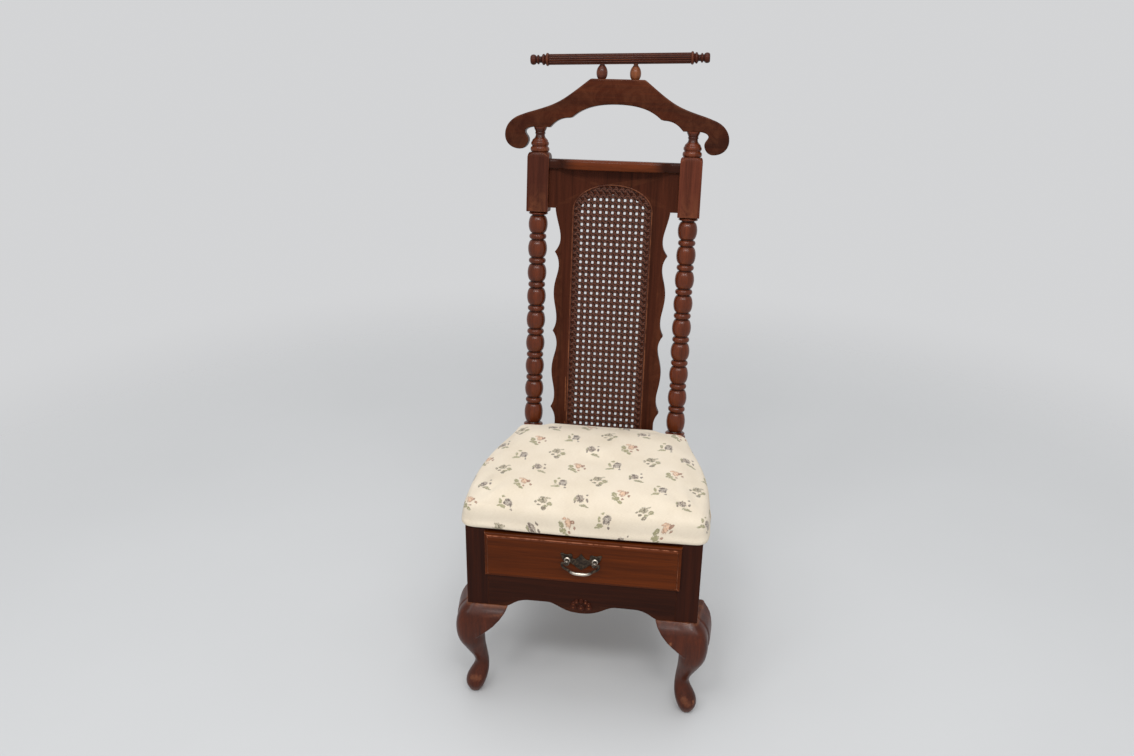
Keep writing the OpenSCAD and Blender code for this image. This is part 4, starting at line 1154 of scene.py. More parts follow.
@dataclass
class Case(Assembly):
    """The case under the seat, with its scalloped apron and carved shell."""

    open_half: float = 177.0
    leg_h: float = 212.0
    open_bottom: float = 288.0
    half_w: float = 218.5
    ear_l: float = 77.5
    rise: float = 17.0
    drop: float = 2.5
    drop_half: float = 66.0
    frame_t: float = 22.0
    shell_w: float = 43.0
    shell_z: float = 15.0
    shell_rise: float = 3.0
    shell_sunk: float = 0.4

    def build(self) -> None:
        """Makes the case."""
        upright = Lacquered("stile_lacquer", Grain.UPRIGHT, srgb(47, 17, 6), seed=7.0, wear_and_highlight=0.12).dress()
        level = Lacquered("rail_lacquer", Grain.ALONG_X, srgb(44, 16, 5), seed=1.5, wear_and_highlight=0.12).dress()
        deep = Lacquered("side_lacquer", Grain.ALONG_Y, srgb(52, 20, 9), seed=2.5, wear_and_highlight=0.25).dress()
        plain = Unfinished("inside_wood", Grain.ALONG_Y, seed=4.0).dress()
        self.soften(["front_stile_left", "front_stile_right"], upright, "mahogany", 1.0)
        self.soften(["top_rail", "back_rail"], level, "mahogany", 1.0)
        self.soften(["side_panel_left", "side_panel_right"], deep, "mahogany", 1.0)
        self.soften(["corner_block_left", "corner_block_right", "drawer_runner_left", "drawer_runner_right",
                     "drawer_kicker_left", "drawer_kicker_right"], plain, "plain_wood", 0.6)
        self.add(board("apron_piece", [both(self.apron())], (0, self.frame_t), 1.0, self.datum.chair()),
                 level, "mahogany", "apron")
        # The shell darkens in its hollows with glaze and painted shade; its ridges rub lighter, partly wear
        # and partly painted highlights.
        self.add(self.shell(), Lacquered("shell_lacquer", Grain.ALONG_X, srgb(60, 24, 11), seed=1.5, wear_and_highlight=0.9,
                                         turned=True).dress(), "mahogany", "shell_carving")

    def apron(self) -> list[Point]:
        """Returns the right half of the apron's outline."""
        high, low = self.leg_h + self.rise, self.leg_h - self.drop
        tip, edge = self.half_w - self.ear_l, self.drop_half
        return ([(self.open_half, self.open_bottom), (self.open_half, self.leg_h)]
                + curve((tip, self.leg_h), (tip - 10, self.leg_h + 4), (tip - 18, high), (tip - 44, high))
                + curve((edge, high), (edge - 21, high), (edge - 28, low), (0, low), 24))

    def shell(self) -> bpy.types.Object:
        """Carves the shell as a height over the apron."""
        columns, rows = 150, 110
        x, z = np.meshgrid(np.linspace(-24, 24, columns), np.linspace(-13, 19, rows))
        height = np.full_like(x, -self.shell_sunk)
        r = self.shell_w / 6.4
        petals = [(i * (self.shell_w / 2 - r), -r * 0.6 + abs(i), r, r * 0.95) for i in (-1, 0, 1)]
        for i in (-2, -1, 0, 1, 2):
            turn = math.radians(i * 32)
            petals.append((r * 2.4 * math.sin(turn), r * 2.1 * math.cos(turn) - r * 0.4, r * 0.62, r * 0.86))
        for px, pz, rx, rz in petals:
            d = np.sqrt(((x - px) / rx) ** 2 + ((z - pz) / rz) ** 2)
            groove = 0.7 * np.exp(-((d - 0.45) / 0.13) ** 2)
            dome = self.shell_rise * np.sqrt(np.clip(1 - d ** 2.4, 0, 1)) - groove
            height = np.maximum(height, np.where(d < 1, dome, -self.shell_sunk))
        verts = np.stack([x, -height, z + self.leg_h + self.shell_z], 2).reshape(-1, 3)
        faces = [(i * columns + j, i * columns + j + 1, (i + 1) * columns + j + 1, (i + 1) * columns + j)
                 for i in range(rows - 1) for j in range(columns - 1)]
        keep = height.ravel() > -0.35
        faces = [f for f in faces if any(keep[i] for i in f)]
        obj = to_object("shell_piece", (verts, faces), self.datum.chair(), None)
        keep_value(obj, "proud", np.clip(height.ravel() / self.shell_rise, 0, 1))
        with editing(obj.data) as bm:
            bmesh.ops.delete(bm, geom=[v for v in bm.verts if not v.link_faces], context="VERTS")
        return obj


@dataclass
class BackPosts(Assembly):
    """Bobbin-turned posts with their bent square legs, blocks and necks."""

    post_x: float = 153.0
    square: float = 44.0
    start: float = 31.0
    bead_r: float = 19.7
    ring_r: float = 17.8
    neck_r: float = 12.8
    ring_h: float = 12.0
    pitch: float = 50.0
    beads: int = 9
    block_h: float = 118.0
    shoulder: float = 9.0
    shoulder_in: float = 0.15
    squareness: int = 46
    neck_l: float = 49.0
    neck_min: float = 9.25
    foot_back: float = 34.0
    foot: float = 32.0
    leg_h: float = 212.0
    case_top: float = 382.0
    depth: float = 362.0

    @property
    def base(self) -> float:
        """Returns the height of the lowest ring."""
        return self.start + 15

    @property
    def block_z(self) -> float:
        """Returns the height of the block's foot."""
        return self.base + self.beads * self.pitch + 1.5

    def spindle(self) -> list[Point]:
        """Returns the profile of the beads and rings."""
        neck, bead, ring, base = self.neck_r, self.bead_r, self.ring_r, self.base
        gap = self.ring_h / 2 + 1.2
        profile = [(self.square / 2 - 1, self.start - 1), (self.square / 2 - 4, self.start + 3),
                   (neck + 1, self.start + 6)]
        profile += swell(neck + 1, bead + 1, base - 8, base - 1, 12)
        for i in range(self.beads):
            z = base + i * self.pitch
            if i:
                profile += swell(neck, ring, z - self.ring_h / 2, z + self.ring_h / 2, 14, 1.9)
            profile += swell(neck, bead, z + (gap if i else 1), z + self.pitch - gap, 30, 1.9)
        profile += swell(neck, bead, self.block_z - 7, self.block_z - 1, 12)
        return profile + [(neck, self.block_z - 0.5), (neck, self.block_z + 1)]

    def neck(self) -> list[Point]:
        """Returns the profile from the block up to the hanger."""
        top, bead, least = self.block_z + self.block_h, self.bead_r, self.neck_min
        end = top + self.neck_l
        profile = [(bead - 3.5, top - 1)] + swell(bead - 3.5, bead - 0.4, top + 0.5, top + 11, 18)
        profile += swell(bead - 3.5, bead - 1.6, top + 13, top + 21, 16)
        profile += curve((bead - 3.5, top + 22), (bead - 4.5, top + 27), (least + 0.5, top + 27),
                         (least, end - 15), 20)
        profile += swell(least, least + 1.2, end - 13.5, end - 9.5, 10)
        profile += curve((least + 0.6, end - 9), (least + 1.5, end - 5), (least + 3.5, end - 4),
                         (least + 4, end), 10)
        return profile + [(least + 4, end + 0.5)]

    def block(self) -> Skin:
        """Returns a square block whose shoulders are rounded over."""
        s, h, z0 = self.square / 2, self.block_h, self.block_z
        a = np.linspace(0, 2 * math.pi, 192, endpoint=False)
        power = self.squareness
        square = s / (np.abs(np.cos(a)) ** power + np.abs(np.sin(a)) ** power) ** (1 / power)
        over = curve((s * 1.45, h - 13), (s * 1.3, h - 4), (s, h), (s - 3, h), 14) + [(s - 3, h)]
        levels = [(s * 1.4, 0.0), (s * 1.5, 0.8), (s * 1.5, h * 0.5), (s * 1.5, h - 13.5)] + over
        rings = []
        for i, (radius, z) in enumerate(levels):
            over_top = max(0.0, z - h + self.shoulder) / self.shoulder
            drawn_in = 1 - self.shoulder_in * (1 - math.sqrt(1 - over_top ** 2))
            r = np.minimum(square * drawn_in, radius) - (0.8 if i == 0 else 0.0)
            rings.append(np.stack([r * np.cos(a), r * np.sin(a), np.full(len(a), z0 + z)], 1))
        return loft(rings)

    def leg_outline(self) -> list[Point]:
        """Returns the side view of the square part, from the floor to the turning."""
        s, f, back = self.square / 2, self.foot / 2, self.depth + self.foot_back
        up = np.array([math.sin(RAKE), math.cos(RAKE)]) * self.start
        across = np.array([math.cos(RAKE), -math.sin(RAKE)]) * s
        d, top = self.depth, self.case_top
        bend = self.leg_h * 0.86
        rear, near = d + s, d - s
        return ([(back - f, 0.0), (back + f, 0.0)]
                + curve((rear + 3, bend - 30), (rear + 0.6, bend - 8), (rear, bend + 6), (rear, bend + 24), 8)
                + [(rear, top),
                   (d + across[0] + up[0], top + across[1] + up[1]),
                   (d - across[0] + up[0], top - across[1] + up[1]),
                   (near, top)]
                + curve((near, bend + 24), (near, bend + 6), (near + 0.6, bend - 8),
                        (near + 3, bend - 30), 8))

    def build(self) -> None:
        """Makes both posts."""
        for side, sign in SIDES.items():
            # The grooves between the beads darken with glaze and painted shade; the crowns rub lighter.
            spindle = Lacquered(f"turned_lacquer_{side}", Grain.LEANING, srgb(86, 36, 13), seed=5.0 + sign,
                                wear_and_highlight=0.3, turned=True, gloss=0.15, shine=0.19).dress()
            stain = srgb(64, 29, 18) if sign < 0 else srgb(84, 40, 26)
            squares = Lacquered(f"post_lacquer_{side}", Grain.LEANING, stain, seed=9.0 + sign,
                                wear_and_highlight=0.3).dress()
            place = self.datum.leaning() @ Matrix.Translation((sign * self.post_x, 0, 0))
            node = f"back_post_{side}"
            self.add(turned(f"spindle_{side}", self.spindle(), place), spindle, "mahogany", node)
            self.add(turned(f"neck_{side}", self.neck(), place), spindle, "mahogany", node)
            block = to_object(f"block_{side}", self.block(), place, 30.0)
            mark_edges(block, MM)
            self.add(block, squares, "mahogany", node)
            leg = board(f"back_leg_{side}", [[(-x, z) for x, z in self.leg_outline()]],
                        (-self.square / 2, self.square / 2), 1.5,
                        self.datum.chair() @ Matrix.Translation((sign * self.post_x, 0, 0))
                        @ Matrix.Rotation(-math.pi / 2, 4, "Z"))
            self.add(leg, squares, "mahogany", node)


@dataclass
class CanedBack(Assembly):
    """The scalloped splat, its woven cane and the spline that holds it."""

    half_w: float = 115.5
    post_in: float = 131.0
    thick: float = 20.0
    top: float = 584.0
    shoulder: float = 506.0
    pitch: float = 166.0
    scoop: float = 9.0
    field_half: float = 82.0
    field_z: float = 27.2
    field_top: float = 558.0
    rise: float = 54.0
    ledge: float = 12.0
    crown: float = 5.0
    spline_w: float = 4.0
    cell_x: float = 12.3
    cell_z: float = 12.8
    cells: int = 8
    cell_steps: int = 8
    under: float = 0.6
    pair_out: float = 1.9
    pair_w: float = 3.6
    pair_lift: float = 0.34
    slant_w: float = 3.0
    slant_lift: float = 0.3
    slant_wave: float = 0.5
    least: int = 4

    @property
    def arch_z(self) -> float:
        """Returns the height at which the field's arch springs."""
        return self.field_top - self.rise

    def stretch(self, z: float) -> list[Point]:
        """Returns the scalloped edge from one point down to the next."""
        w, p, scoop, shallow = self.half_w, self.pitch, self.scoop, self.scoop - 2
        deep, slight = w - scoop, w - shallow
        return chain((w, z),
                     ((w - scoop * 0.7, z - 0.05 * p), (deep, z - 0.11 * p), (deep, z - 0.17 * p), 12),
                     ((deep, z - 0.27 * p), (w, z - 0.36 * p), (w, z - 0.5 * p), 14),
                     ((w, z - 0.64 * p), (slight, z - 0.72 * p), (slight, z - 0.84 * p), 14),
                     ((slight, z - 0.91 * p), (w - shallow * 0.6, z - 0.95 * p), (w, z - p), 12))

    def outline(self) -> list[Point]:
        """Returns the splat's right edge, from its top to its foot."""
        w, scoop, z = self.half_w, self.scoop, self.shoulder
        first = z - 89
        count = int((first - 1.2) // self.pitch)
        last = first - count * self.pitch
        points = [(self.post_in, self.top), (self.post_in, z), (w + 1, z)]
        neck, foot = w - scoop - 2, w - scoop - 1
        points += chain((w + 1, z), ((w - 1, z - 22), (neck, z - 42), (neck, z - 60), 12),
                        ((neck, z - 74), (w - 6, first + 8), (w, first), 12))
        for i in range(count):
            points += self.stretch(first - i * self.pitch)
        points += curve((w, last), (w - 7, last - 10), (foot, last - 18), (foot, last - 32), 12)
        return points + [(foot, max(last - 32, 1.2)), (foot, 1.2)]

    def field(self, inset: float, steps: int = 60, lower: float = 0.0) -> list[Point]:
        """Draws the arched field.

        Args:
            inset: How far it is drawn in all round.
            steps: Faces over its arch.
            lower: How much lower its top is.

        Returns:
            The closed outline.
        """
        half = self.field_half - inset
        points = [(-half, self.field_z + inset), (half, self.field_z + inset)]
        for i in range(steps + 1):
            a = math.pi * i / steps
            points.append((half * math.cos(a), self.arch_z + (self.rise - inset - lower) * math.sin(a)))
        return points

    def build(self) -> None:
        """Makes the back."""
        lean = self.datum.leaning()
        t = self.thick / 2
        lacquer = Lacquered("splat_lacquer", Grain.LEANING, srgb(60, 27, 15), seed=6.0, wear_and_highlight=0.25,
                            shine=0.04, scars_and_highlights=self.scars_and_highlights(), gloss=0.33).dress()
        window = self.ledge + self.spline_w
        opening = self.field(window, lower=self.crown)
        front = board("splat_face", [both(self.outline()), self.field(0.3)], (-t, 0.0), 1.0, lean)
        rear = board("splat_rear", [both(self.outline()), opening], (-1.0, t), 1.2, lean)
        ledge = board("splat_ledge", [self.field(-0.5), opening], (-t + 1.9, 0.0), 0.3, lean)
        for obj in (front, rear, ledge):
            self.add(obj, lacquer, "mahogany", "splat")
        # The spline darkens on its flanks with glaze and painted shade; its crown rubs lighter, partly wear
        # and partly a painted highlight.
        bead = Lacquered("spline_lacquer", Grain.LEANING, srgb(70, 35, 23), seed=2.0, wear_and_highlight=0.6, turned=True)
        self.add(self.spline(lean), bead.dress(), "mahogany", "cane_spline")
        self.weave(lean)

    def scars_and_highlights(self) -> tuple[ScarOrHighlight, ...]:
        """Returns the marks on the splat's left edge."""
        lean = self.datum.leaning()
        def at(x: float, z: float) -> tuple:
            """Returns a place on the splat's face."""
            return tuple(lean @ Vector((x, -self.thick / 2, z)))
        return (ScarOrHighlight(at(-84.5, 152), at(-83.5, 78), 0.0011, 0.9),
                ScarOrHighlight(at(-83.5, 52), at(-81.0, 49), 0.003, 0.9))

    def spline(self, place: Matrix) -> bpy.types.Object:
        """Bends the half-round spline into its groove."""
        path = np.array(self.field(self.spline_w / 2, 72))
        wide = self.spline_w / 2 + 0.1
        section = [(math.cos(a) * wide, -math.sin(a) * 1.5) for a in np.linspace(0, math.pi, 11)]
        section += [(-self.spline_w / 2, 2.0), (self.spline_w / 2, 2.0)]
        ahead, behind = np.roll(path, -1, 0) - path, path - np.roll(path, 1, 0)
        ahead /= np.linalg.norm(ahead, axis=1)[:, None]
        behind /= np.linalg.norm(behind, axis=1)[:, None]
        way = ahead + behind
        way /= np.linalg.norm(way, axis=1)[:, None]
        stretch = 1 / np.clip((way * ahead).sum(1), 0.5, 1)
        across = np.stack([way[:, 1], -way[:, 0]], 1) * stretch[:, None]
        face = -self.thick / 2
        rings = [np.array([(p[0] + c[0] * u, face + v + 0.3, p[1] + c[1] * u) for u, v in section])
                 for p, c in zip(path, across)]
        obj = to_object("spline_piece", loft(rings, closed=True), place, 50.0)
        rise = np.array([max(0.0, -v / 1.5) for _, v in section] * len(path))
        keep_value(obj, "proud", rise)
        return obj

    def covers(self, x: np.ndarray, z: np.ndarray, inset: float) -> np.ndarray:
        """Tells which points lie inside the field.

        Args:
            x: The points' distance from the middle.
            z: The points' height.
            inset: How far the field is drawn in.

        Returns:
            True or False for each point.
        """
        half, rise = self.field_half - inset, self.rise - inset
        low = self.field_z + inset
        arch = (x / half) ** 2 + (np.maximum(z - self.arch_z, 0) / rise) ** 2 < 1
        return (np.abs(x) < half) & (z > low) & arch

    def weave(self, place: Matrix) -> None:
        """Weaves the cane in six ways: pairs up, pairs across and both slants."""
        kinds = {
            "cane_up": (Grain.LEANING, self.straight(True)),
            "cane_across": (Grain.ALONG_X, self.straight(False)),
            "cane_slant": (Grain.LEANING, self.slanting()),
        }
        for name, (grain, paths) in kinds.items():
            obj = self.strands(name, paths, place)
            self.add(obj, CaneStrand(name + "_stain", grain).dress(), "cane", "cane_panel")

    def straight(self, upright: bool) -> list[tuple[np.ndarray, float, float]]:
        """Returns the paths of the paired strands.

        Args:
            upright: True for the strands that run up the panel.

        Returns:
            Points, width and greatest lift of each strand.
        """
        paths = []
        cell, run = (self.cell_x, self.cell_z) if upright else (self.cell_z, self.cell_x)
        length = self.field_top - self.field_z
        for index in range(-self.cells, self.cells + 1) if upright else range(int(length / cell) + 1):
            for half in (-1, 1):
                offset = (index + 0.5) * cell + half * self.pair_out + (0 if upright else self.field_z)
                if upright:
                    s = np.arange(self.field_z, self.field_top, run / self.cell_steps)
                    x, z = np.full_like(s, offset), s
                else:
                    s = np.arange(-self.field_half, self.field_half, run / self.cell_steps)
                    x, z = s, np.full_like(s, offset)
                inside = self.covers(x, z, self.spline_w - self.under)
                phase = (s - (self.field_z if upright else 0)) / run + (0.5 if upright else 0.0)
                sign = 1 if (half > 0) == upright else -1
                lift = self.pair_lift * sign * np.cos(np.pi * 2 * phase)
                y = -lift + (0.10 if upright else -0.10)
                if inside.sum() > self.least:
                    paths.append((np.stack([x, y, z], 1)[inside], self.pair_w, self.pair_lift))
        return paths

    def slanting(self) -> list[tuple[np.ndarray, float, float]]:
        """Returns the paths of the strands that cross the holes' corners.

        Returns:
            Points, width and greatest lift of each strand.
        """
        paths = []
        tall = int((self.field_top - self.field_z) / self.cell_z) + 1
        for slope in (-1, 1):
            for index in range(-self.cells, tall + self.cells + 1):
                s = np.arange(-self.cells - 0.5, self.cells + 0.5, 1 / self.cell_steps)
                x = s * self.cell_x
                z = self.field_z + (index + slope * s) * self.cell_z + 0.5 * self.cell_z
                inside = self.covers(x, z, self.spline_w - self.under)
                y = -self.slant_wave * slope * np.cos(2 * np.pi * s)
                if inside.sum() > self.least:
                    paths.append((np.stack([x, y, z], 1)[inside], self.slant_w, self.slant_lift))
        return paths

    def strands(self, name: str, paths: Sequence[tuple[np.ndarray, float, float]],
                place: Matrix) -> bpy.types.Object:
        """Runs a thin domed ribbon along each path.

        Args:
            name: The piece's name.
            paths: Points, width and lift of each strand.
            place: The leaning frame.

        Returns:
            All strands as one piece.
        """
        level = -self.thick / 2 + 0.9
        verts, faces, proud, base = [], [], [], 0
        for points, width, lift in paths:
            way = np.gradient(points, axis=0)
            way[:, 1] = 0
            way /= np.linalg.norm(way, axis=1)[:, None]
            across = np.stack([way[:, 2], np.zeros(len(way)), -way[:, 0]], 1)
            section = ((-0.5, 0.26), (-0.25, -0.06), (0.25, -0.06), (0.5, 0.26), (0.3, 0.34), (-0.3, 0.34))
            n = len(section)
            for u, v in section:
                verts.append(points + across * (u * width) + [0, level + v, 0])
            count = len(points)
            order = np.arange(base, base + n * count).reshape(n, count)
            for k in range(n):
                a, b = order[k], order[(k + 1) % n]
                faces += [(a[i], a[i + 1], b[i + 1], b[i]) for i in range(count - 1)]
            # Lower where the strand dips and on its sides; the stain turns this into painted shade.
            high = np.clip(0.5 - points[:, 1] / (2 * lift), 0, 1)
            for u, _ in section:
                proud.append(high * (1.0 if abs(u) < 0.4 else 0.45))
            base += n * count
        obj = to_object(name, (np.concatenate(verts), faces), place, None)
        keep_value(obj, "proud", np.concatenate(proud))
        return obj


@dataclass
class CapRail(Assembly):
    """The serpentine rail over the splat."""

    low: float = 584.0
    height: float = 19.5
    post_in: float = 131.0
    end_d: float = 28.0
    bow: float = 17.0
    half: float = 96.0
    back: float = 10.0

    def front(self) -> list[Point]:
        """Returns the right half of the rail's front line, from its end to its middle."""
        y, b, h = self.back - self.end_d, self.bow, self.half
        return [(self.post_in, y)] + chain(
            (h + 22, y), ((h + 8, y), (h + 8, y - b + 4), (h - 8, y - b + 4), 24),
            ((h / 2, y - b), (h / 4, y - b), (0, y - b), 20))

    def build(self) -> None:
        """Makes the rail with its moulded front edge."""
        half = self.front()
        line = np.array(half + [(0.0, half[-1][1])] + [(-x, y) for x, y in reversed(half)])
        h = self.height
        edge = [(3.2, 0.0), (1.2, 0.5), (0.3, 1.8), (0.0, 3.6),
                (0.0, h - 6.0), (0.4, h - 3.6), (1.5, h - 1.6), (3.4, h - 0.4), (6.0, h)]
        way = np.gradient(line, axis=0)
        way /= np.linalg.norm(way, axis=1)[:, None]
        inward = np.stack([way[:, 1], -way[:, 0]], 1)
        inward *= np.sign(inward[:, 1])[:, None]
        rings = []
        for p, n in zip(line, inward):
            ring = [(p[0] + n[0] * u, p[1] + n[1] * u, z) for u, z in edge]
            ring = [(float(np.clip(x, -self.post_in, self.post_in)), y, z) for x, y, z in ring]
            x = float(p[0])
            ring += [(x, self.back - 1.0, h), (x, self.back, h - 1.0), (x, self.back, 1.0),
                     (x, self.back - 1.0, 0.0)]
            rings.append(np.array(ring))
        place = self.datum.leaning() @ Matrix.Translation((0, 0, self.low))
        obj = to_object("cap_rail_piece", loft(rings), place, 34.0)
        mark_edges(obj, MM)
        # Its ends darken: painted shade where the bowed front turns away.
        lacquer = Lacquered("cap_lacquer", Grain.ALONG_X, srgb(84, 37, 13), seed=8.0, wear_and_highlight=0.45,
                            shine=0.07, ends=(0.070, 0.104)).dress()
        self.add(obj, lacquer, "orange_wood", "cap_rail")


@dataclass
class Hanger(Assembly):
    """The coat hanger with its scrolled ends."""

    post_x: float = 153.0
    z: float = 664.5
    top: float = 760.0
    flat: float = 55.0
    arch: float = 47.5
    scroll: float = 43.5
    over: float = 70.5
    thick: float = 24.0

    def outline(self) -> list[Point]:
        """Returns the right half of the outline, from the top's middle to the arch's middle."""
        z, px, low, top = self.z, self.post_x, self.z - self.scroll, self.top
        tip = px + self.over
        arch = z + self.arch
        return ([(self.flat - 3, top)]
                + chain((self.flat, top - 1), ((px - 74, z + 76), (px - 55, z + 60), (px - 34, z + 49), 16),
                        ((px - 8, z + 36), (px + 20, z + 31), (px + 36, z + 24), 16),
                        ((tip - 12, z + 17), (tip, z + 2), (tip, z - 16), 16),
                        ((tip, low + 11), (tip - 13, low), (tip - 30, low), 16),
                        ((tip - 40, low), (tip - 48, low + 9), (tip - 48, low + 19), 16),
                        ((tip - 48, low + 26), (tip - 41, low + 30), (tip - 41, z - 9), 16),
                        ((tip - 41, z - 4), (px + 22, z - 1), (px + 14, z), 10))
                + [(px + 14, z), (px - 20, z)]
                + curve((px - 22, z + 2), (px - 32, z + 13), (px - 42, z + 20), (px - 63, z + 19.5))
                + curve((px - 65, z + 21), (px - 86, arch - 7), (px - 116, arch), (0, arch), 26))

    def build(self) -> None:
        """Makes the hanger."""
        obj = board("hanger_piece", [both(self.outline())], (-self.thick / 2, self.thick / 2), 3.0,
                    self.datum.leaning(), 6)
        lacquer = Lacquered("hanger_lacquer", Grain.ALONG_X, srgb(58, 21, 5), seed=11.0, wear_and_highlight=0.35,
                            figure=30.0, gloss=0.26, ends=(0.075, 0.160), fade=0.35).dress()
        self.add(obj, lacquer, "mahogany", "hanger")


@dataclass
class TrouserBar(Assembly):
    """The fluted bar over the hanger, with its turned ends and egg-shaped supports."""

    z: float = 798.8
    radius: float = 10.3
    length: float = 352.0
    end_l: float = 37.0
    tilt: float = 1.9
    flutes: int = 14
    flute_d: float = 1.5
    gap: float = 66.0
    egg_r: float = 11.0
    egg_h: float = 26.5
    tenon_r: float = 4.5
    top: float = 760.0

    def end(self) -> list[Point]:
        """Returns the profile of one turned end, outwards from the shaft."""
        r, end, core = self.radius, self.end_l, self.radius - 0.5
        profile = [(core, -1.0)] + swell(core - 0.5, r + 2.2, 0, 6, 14)
        profile += swell(core - 2, r + 0.4, 8, end - 23.5, 14)
        profile += curve((core - 2.6, end - 23), (core - 4.2, end - 21.5), (core - 4.2, end - 19),
                         (core - 2.8, end - 17.5), 10)
        profile += swell(core - 2.6, r - 1.2, end - 17.5, end - 13.5, 14)
        profile += [(core - 3.2, end - 13), (core - 3.2, end - 11.5)]
        profile += [p for p in swell(core - 4, r - 0.4, end - 11.5, end, 22) if end - 11 < p[1] < end - 0.1]
        return profile + [(core - 5, end)]

    def shaft(self) -> Skin:
        """Returns the fluted shaft along Z."""
        a = np.linspace(0, 2 * math.pi, self.flutes * 16, endpoint=False)
        wave = (a * self.flutes / (2 * math.pi)) % 1.0
        u = np.abs(wave - 0.5) / 0.40
        r = self.radius - self.flute_d * np.sqrt(np.clip(1 - u ** 2, 0, 1))
        half = self.length / 2 - self.end_l
        return loft([np.stack([r * np.cos(a), r * np.sin(a), np.full(len(a), z)], 1)
                     for z in np.linspace(-half, half, 24)])

    def egg(self, sign: int) -> list[Point]:
        """Returns the profile of one support."""
        r, t, low, top, h = self.egg_r, self.tenon_r, self.top, self.top + self.egg_h, self.egg_h
        reach = sign * self.gap / 2 * math.tan(math.radians(self.tilt))
        profile = [(t, low - 1.0), (t, low)]
        profile += chain(
            (r * 0.64, low), ((r * 0.93, low + h * 0.12), (r, low + h * 0.28), (r, low + h * 0.44), 18),
            ((r, low + h * 0.68), (r * 0.72, top - h * 0.11), (t + 0.8, top - 1), 18))
        return profile + [(t + 0.8, top), (t, top), (t, self.z + reach - self.radius + 3)]

    def build(self) -> None:
        """Makes the bar and its supports."""
        lean = self.datum.leaning()
        bar = (lean @ Matrix.Translation((0, 0, self.z)) @ Matrix.Rotation(math.radians(-self.tilt), 4, "Y")
               @ Matrix.Rotation(math.pi / 2, 4, "Y"))
        lacquer = Lacquered("bar_lacquer", Grain.ALONG_X, srgb(66, 30, 19), seed=13.0, wear_and_highlight=0.4, turned=True,
                            shine=0.09).dress()
        skin = self.shaft()
        shaft = to_object("bar_shaft", skin, bar, 30.0)
        radii = np.linalg.norm(skin[0][:, :2], axis=1)
        # Low in the flutes: the lacquer darkens them with glaze and painted shade.
        keep_value(shaft, "proud", np.clip((radii - self.radius + self.flute_d) / self.flute_d, 0, 1))
        self.add(shaft, lacquer, "mahogany", "trouser_bar")
        half = self.length / 2 - self.end_l
        for side, sign in SIDES.items():
            flip = Matrix.Rotation(0.0 if sign > 0 else math.pi, 4, "X")
            self.add(turned(f"bar_end_{side}", self.end(), bar @ flip @ Matrix.Translation((0, 0, half))),
                     lacquer, "mahogany", "trouser_bar")
            stain = srgb(76, 37, 25) if sign < 0 else srgb(104, 56, 30)
            egg = Lacquered(f"egg_lacquer_{side}", Grain.LEANING, stain, seed=15.0 + sign, wear_and_highlight=0.3,
                            turned=True, gloss=0.22, shine=0.15).dress()
            place = lean @ Matrix.Translation((sign * self.gap / 2, 0, 0))
            self.add(turned(f"egg_{side}_piece", self.egg(sign), place), egg, "mahogany", f"egg_{side}")


@dataclass
class Drawer(Assembly):
    """The drawer: a moulded front and a plain box behind it."""

    half: float = 182.0
    low: float = 283.0
    high: float = 376.0
    gap: float = 0.6
    lip_t: float = 7.0
    field_t: float = 5.0
    plug_half: float = 174.5
    plug_low: float = 290.5
    plug_high: float = 368.5
    back: float = 12.4
    corner_r: float = 0.7
    body = "drawer"

    def face(self) -> bpy.types.Object:
        """Makes the front as nested rectangles, from its back to its raised field."""
        lip, face = -self.gap - self.lip_t, -self.gap - self.lip_t - self.field_t
        levels = [(None, self.back), (None, -self.gap + 0.01), (0.3, -self.gap), (0.0, -self.gap - 0.4),
                  (0.0, lip + 3.4), (0.25, lip + 2.0), (0.9, lip + 0.9), (1.9, lip + 0.2), (3.0, lip),
                  (5.2, lip), (5.6, lip - 0.3), (6.0, lip - 1.2), (6.0, lip - 1.8), (6.2, lip - 2.8),
                  (6.8, face + 0.9), (7.8, face + 0.2), (9.2, face)]
        rings = []
        for inset, y in levels:
            if inset is None:
                x, z0, z1 = self.plug_half, self.plug_low, self.plug_high
            else:
                x, z0, z1 = self.half - inset, self.low + inset, self.high - inset
            r = self.corner_r
            corners = ((x - r, z1 - r, 0), (-x + r, z1 - r, 90), (-x + r, z0 + r, 180), (x - r, z0 + r, 270))
            ring = []
            for cx, cz, start in corners:
                for k in range(4):
                    a = math.radians(start + k * 30)
                    ring.append((cx + r * math.cos(a), y, cz + r * math.sin(a)))
            rings.append(np.array(ring))
        obj = to_object("drawer_face", loft(rings), self.datum.chair(), 32.0)
        mark_edges(obj, MM)
        return flat_shaded_faces(obj)

    def build(self) -> None:
        """Makes the drawer."""
        # The moulded edges rub lighter: wear, and painted highlights where the moulding catches light.
        lacquer = Lacquered("drawer_lacquer", Grain.ALONG_X, srgb(78, 32, 5), seed=17.0, wear_and_highlight=1.4,
                            figure=30.0, rubbed_and_highlight=srgb(156, 98, 72)).dress()
        self.add(self.face(), lacquer, "orange_wood", "drawer_front")
        plain = Unfinished("drawer_wood", Grain.ALONG_Y, seed=1.0).dress()
        across = Unfinished("drawer_back_wood", Grain.ALONG_X, seed=2.0).dress()
        self.soften(["drawer_side_left", "drawer_side_right"], plain, "plain_wood", 0.8)
        self.soften(["drawer_back", "drawer_bottom"], across, "plain_wood", 0.5)


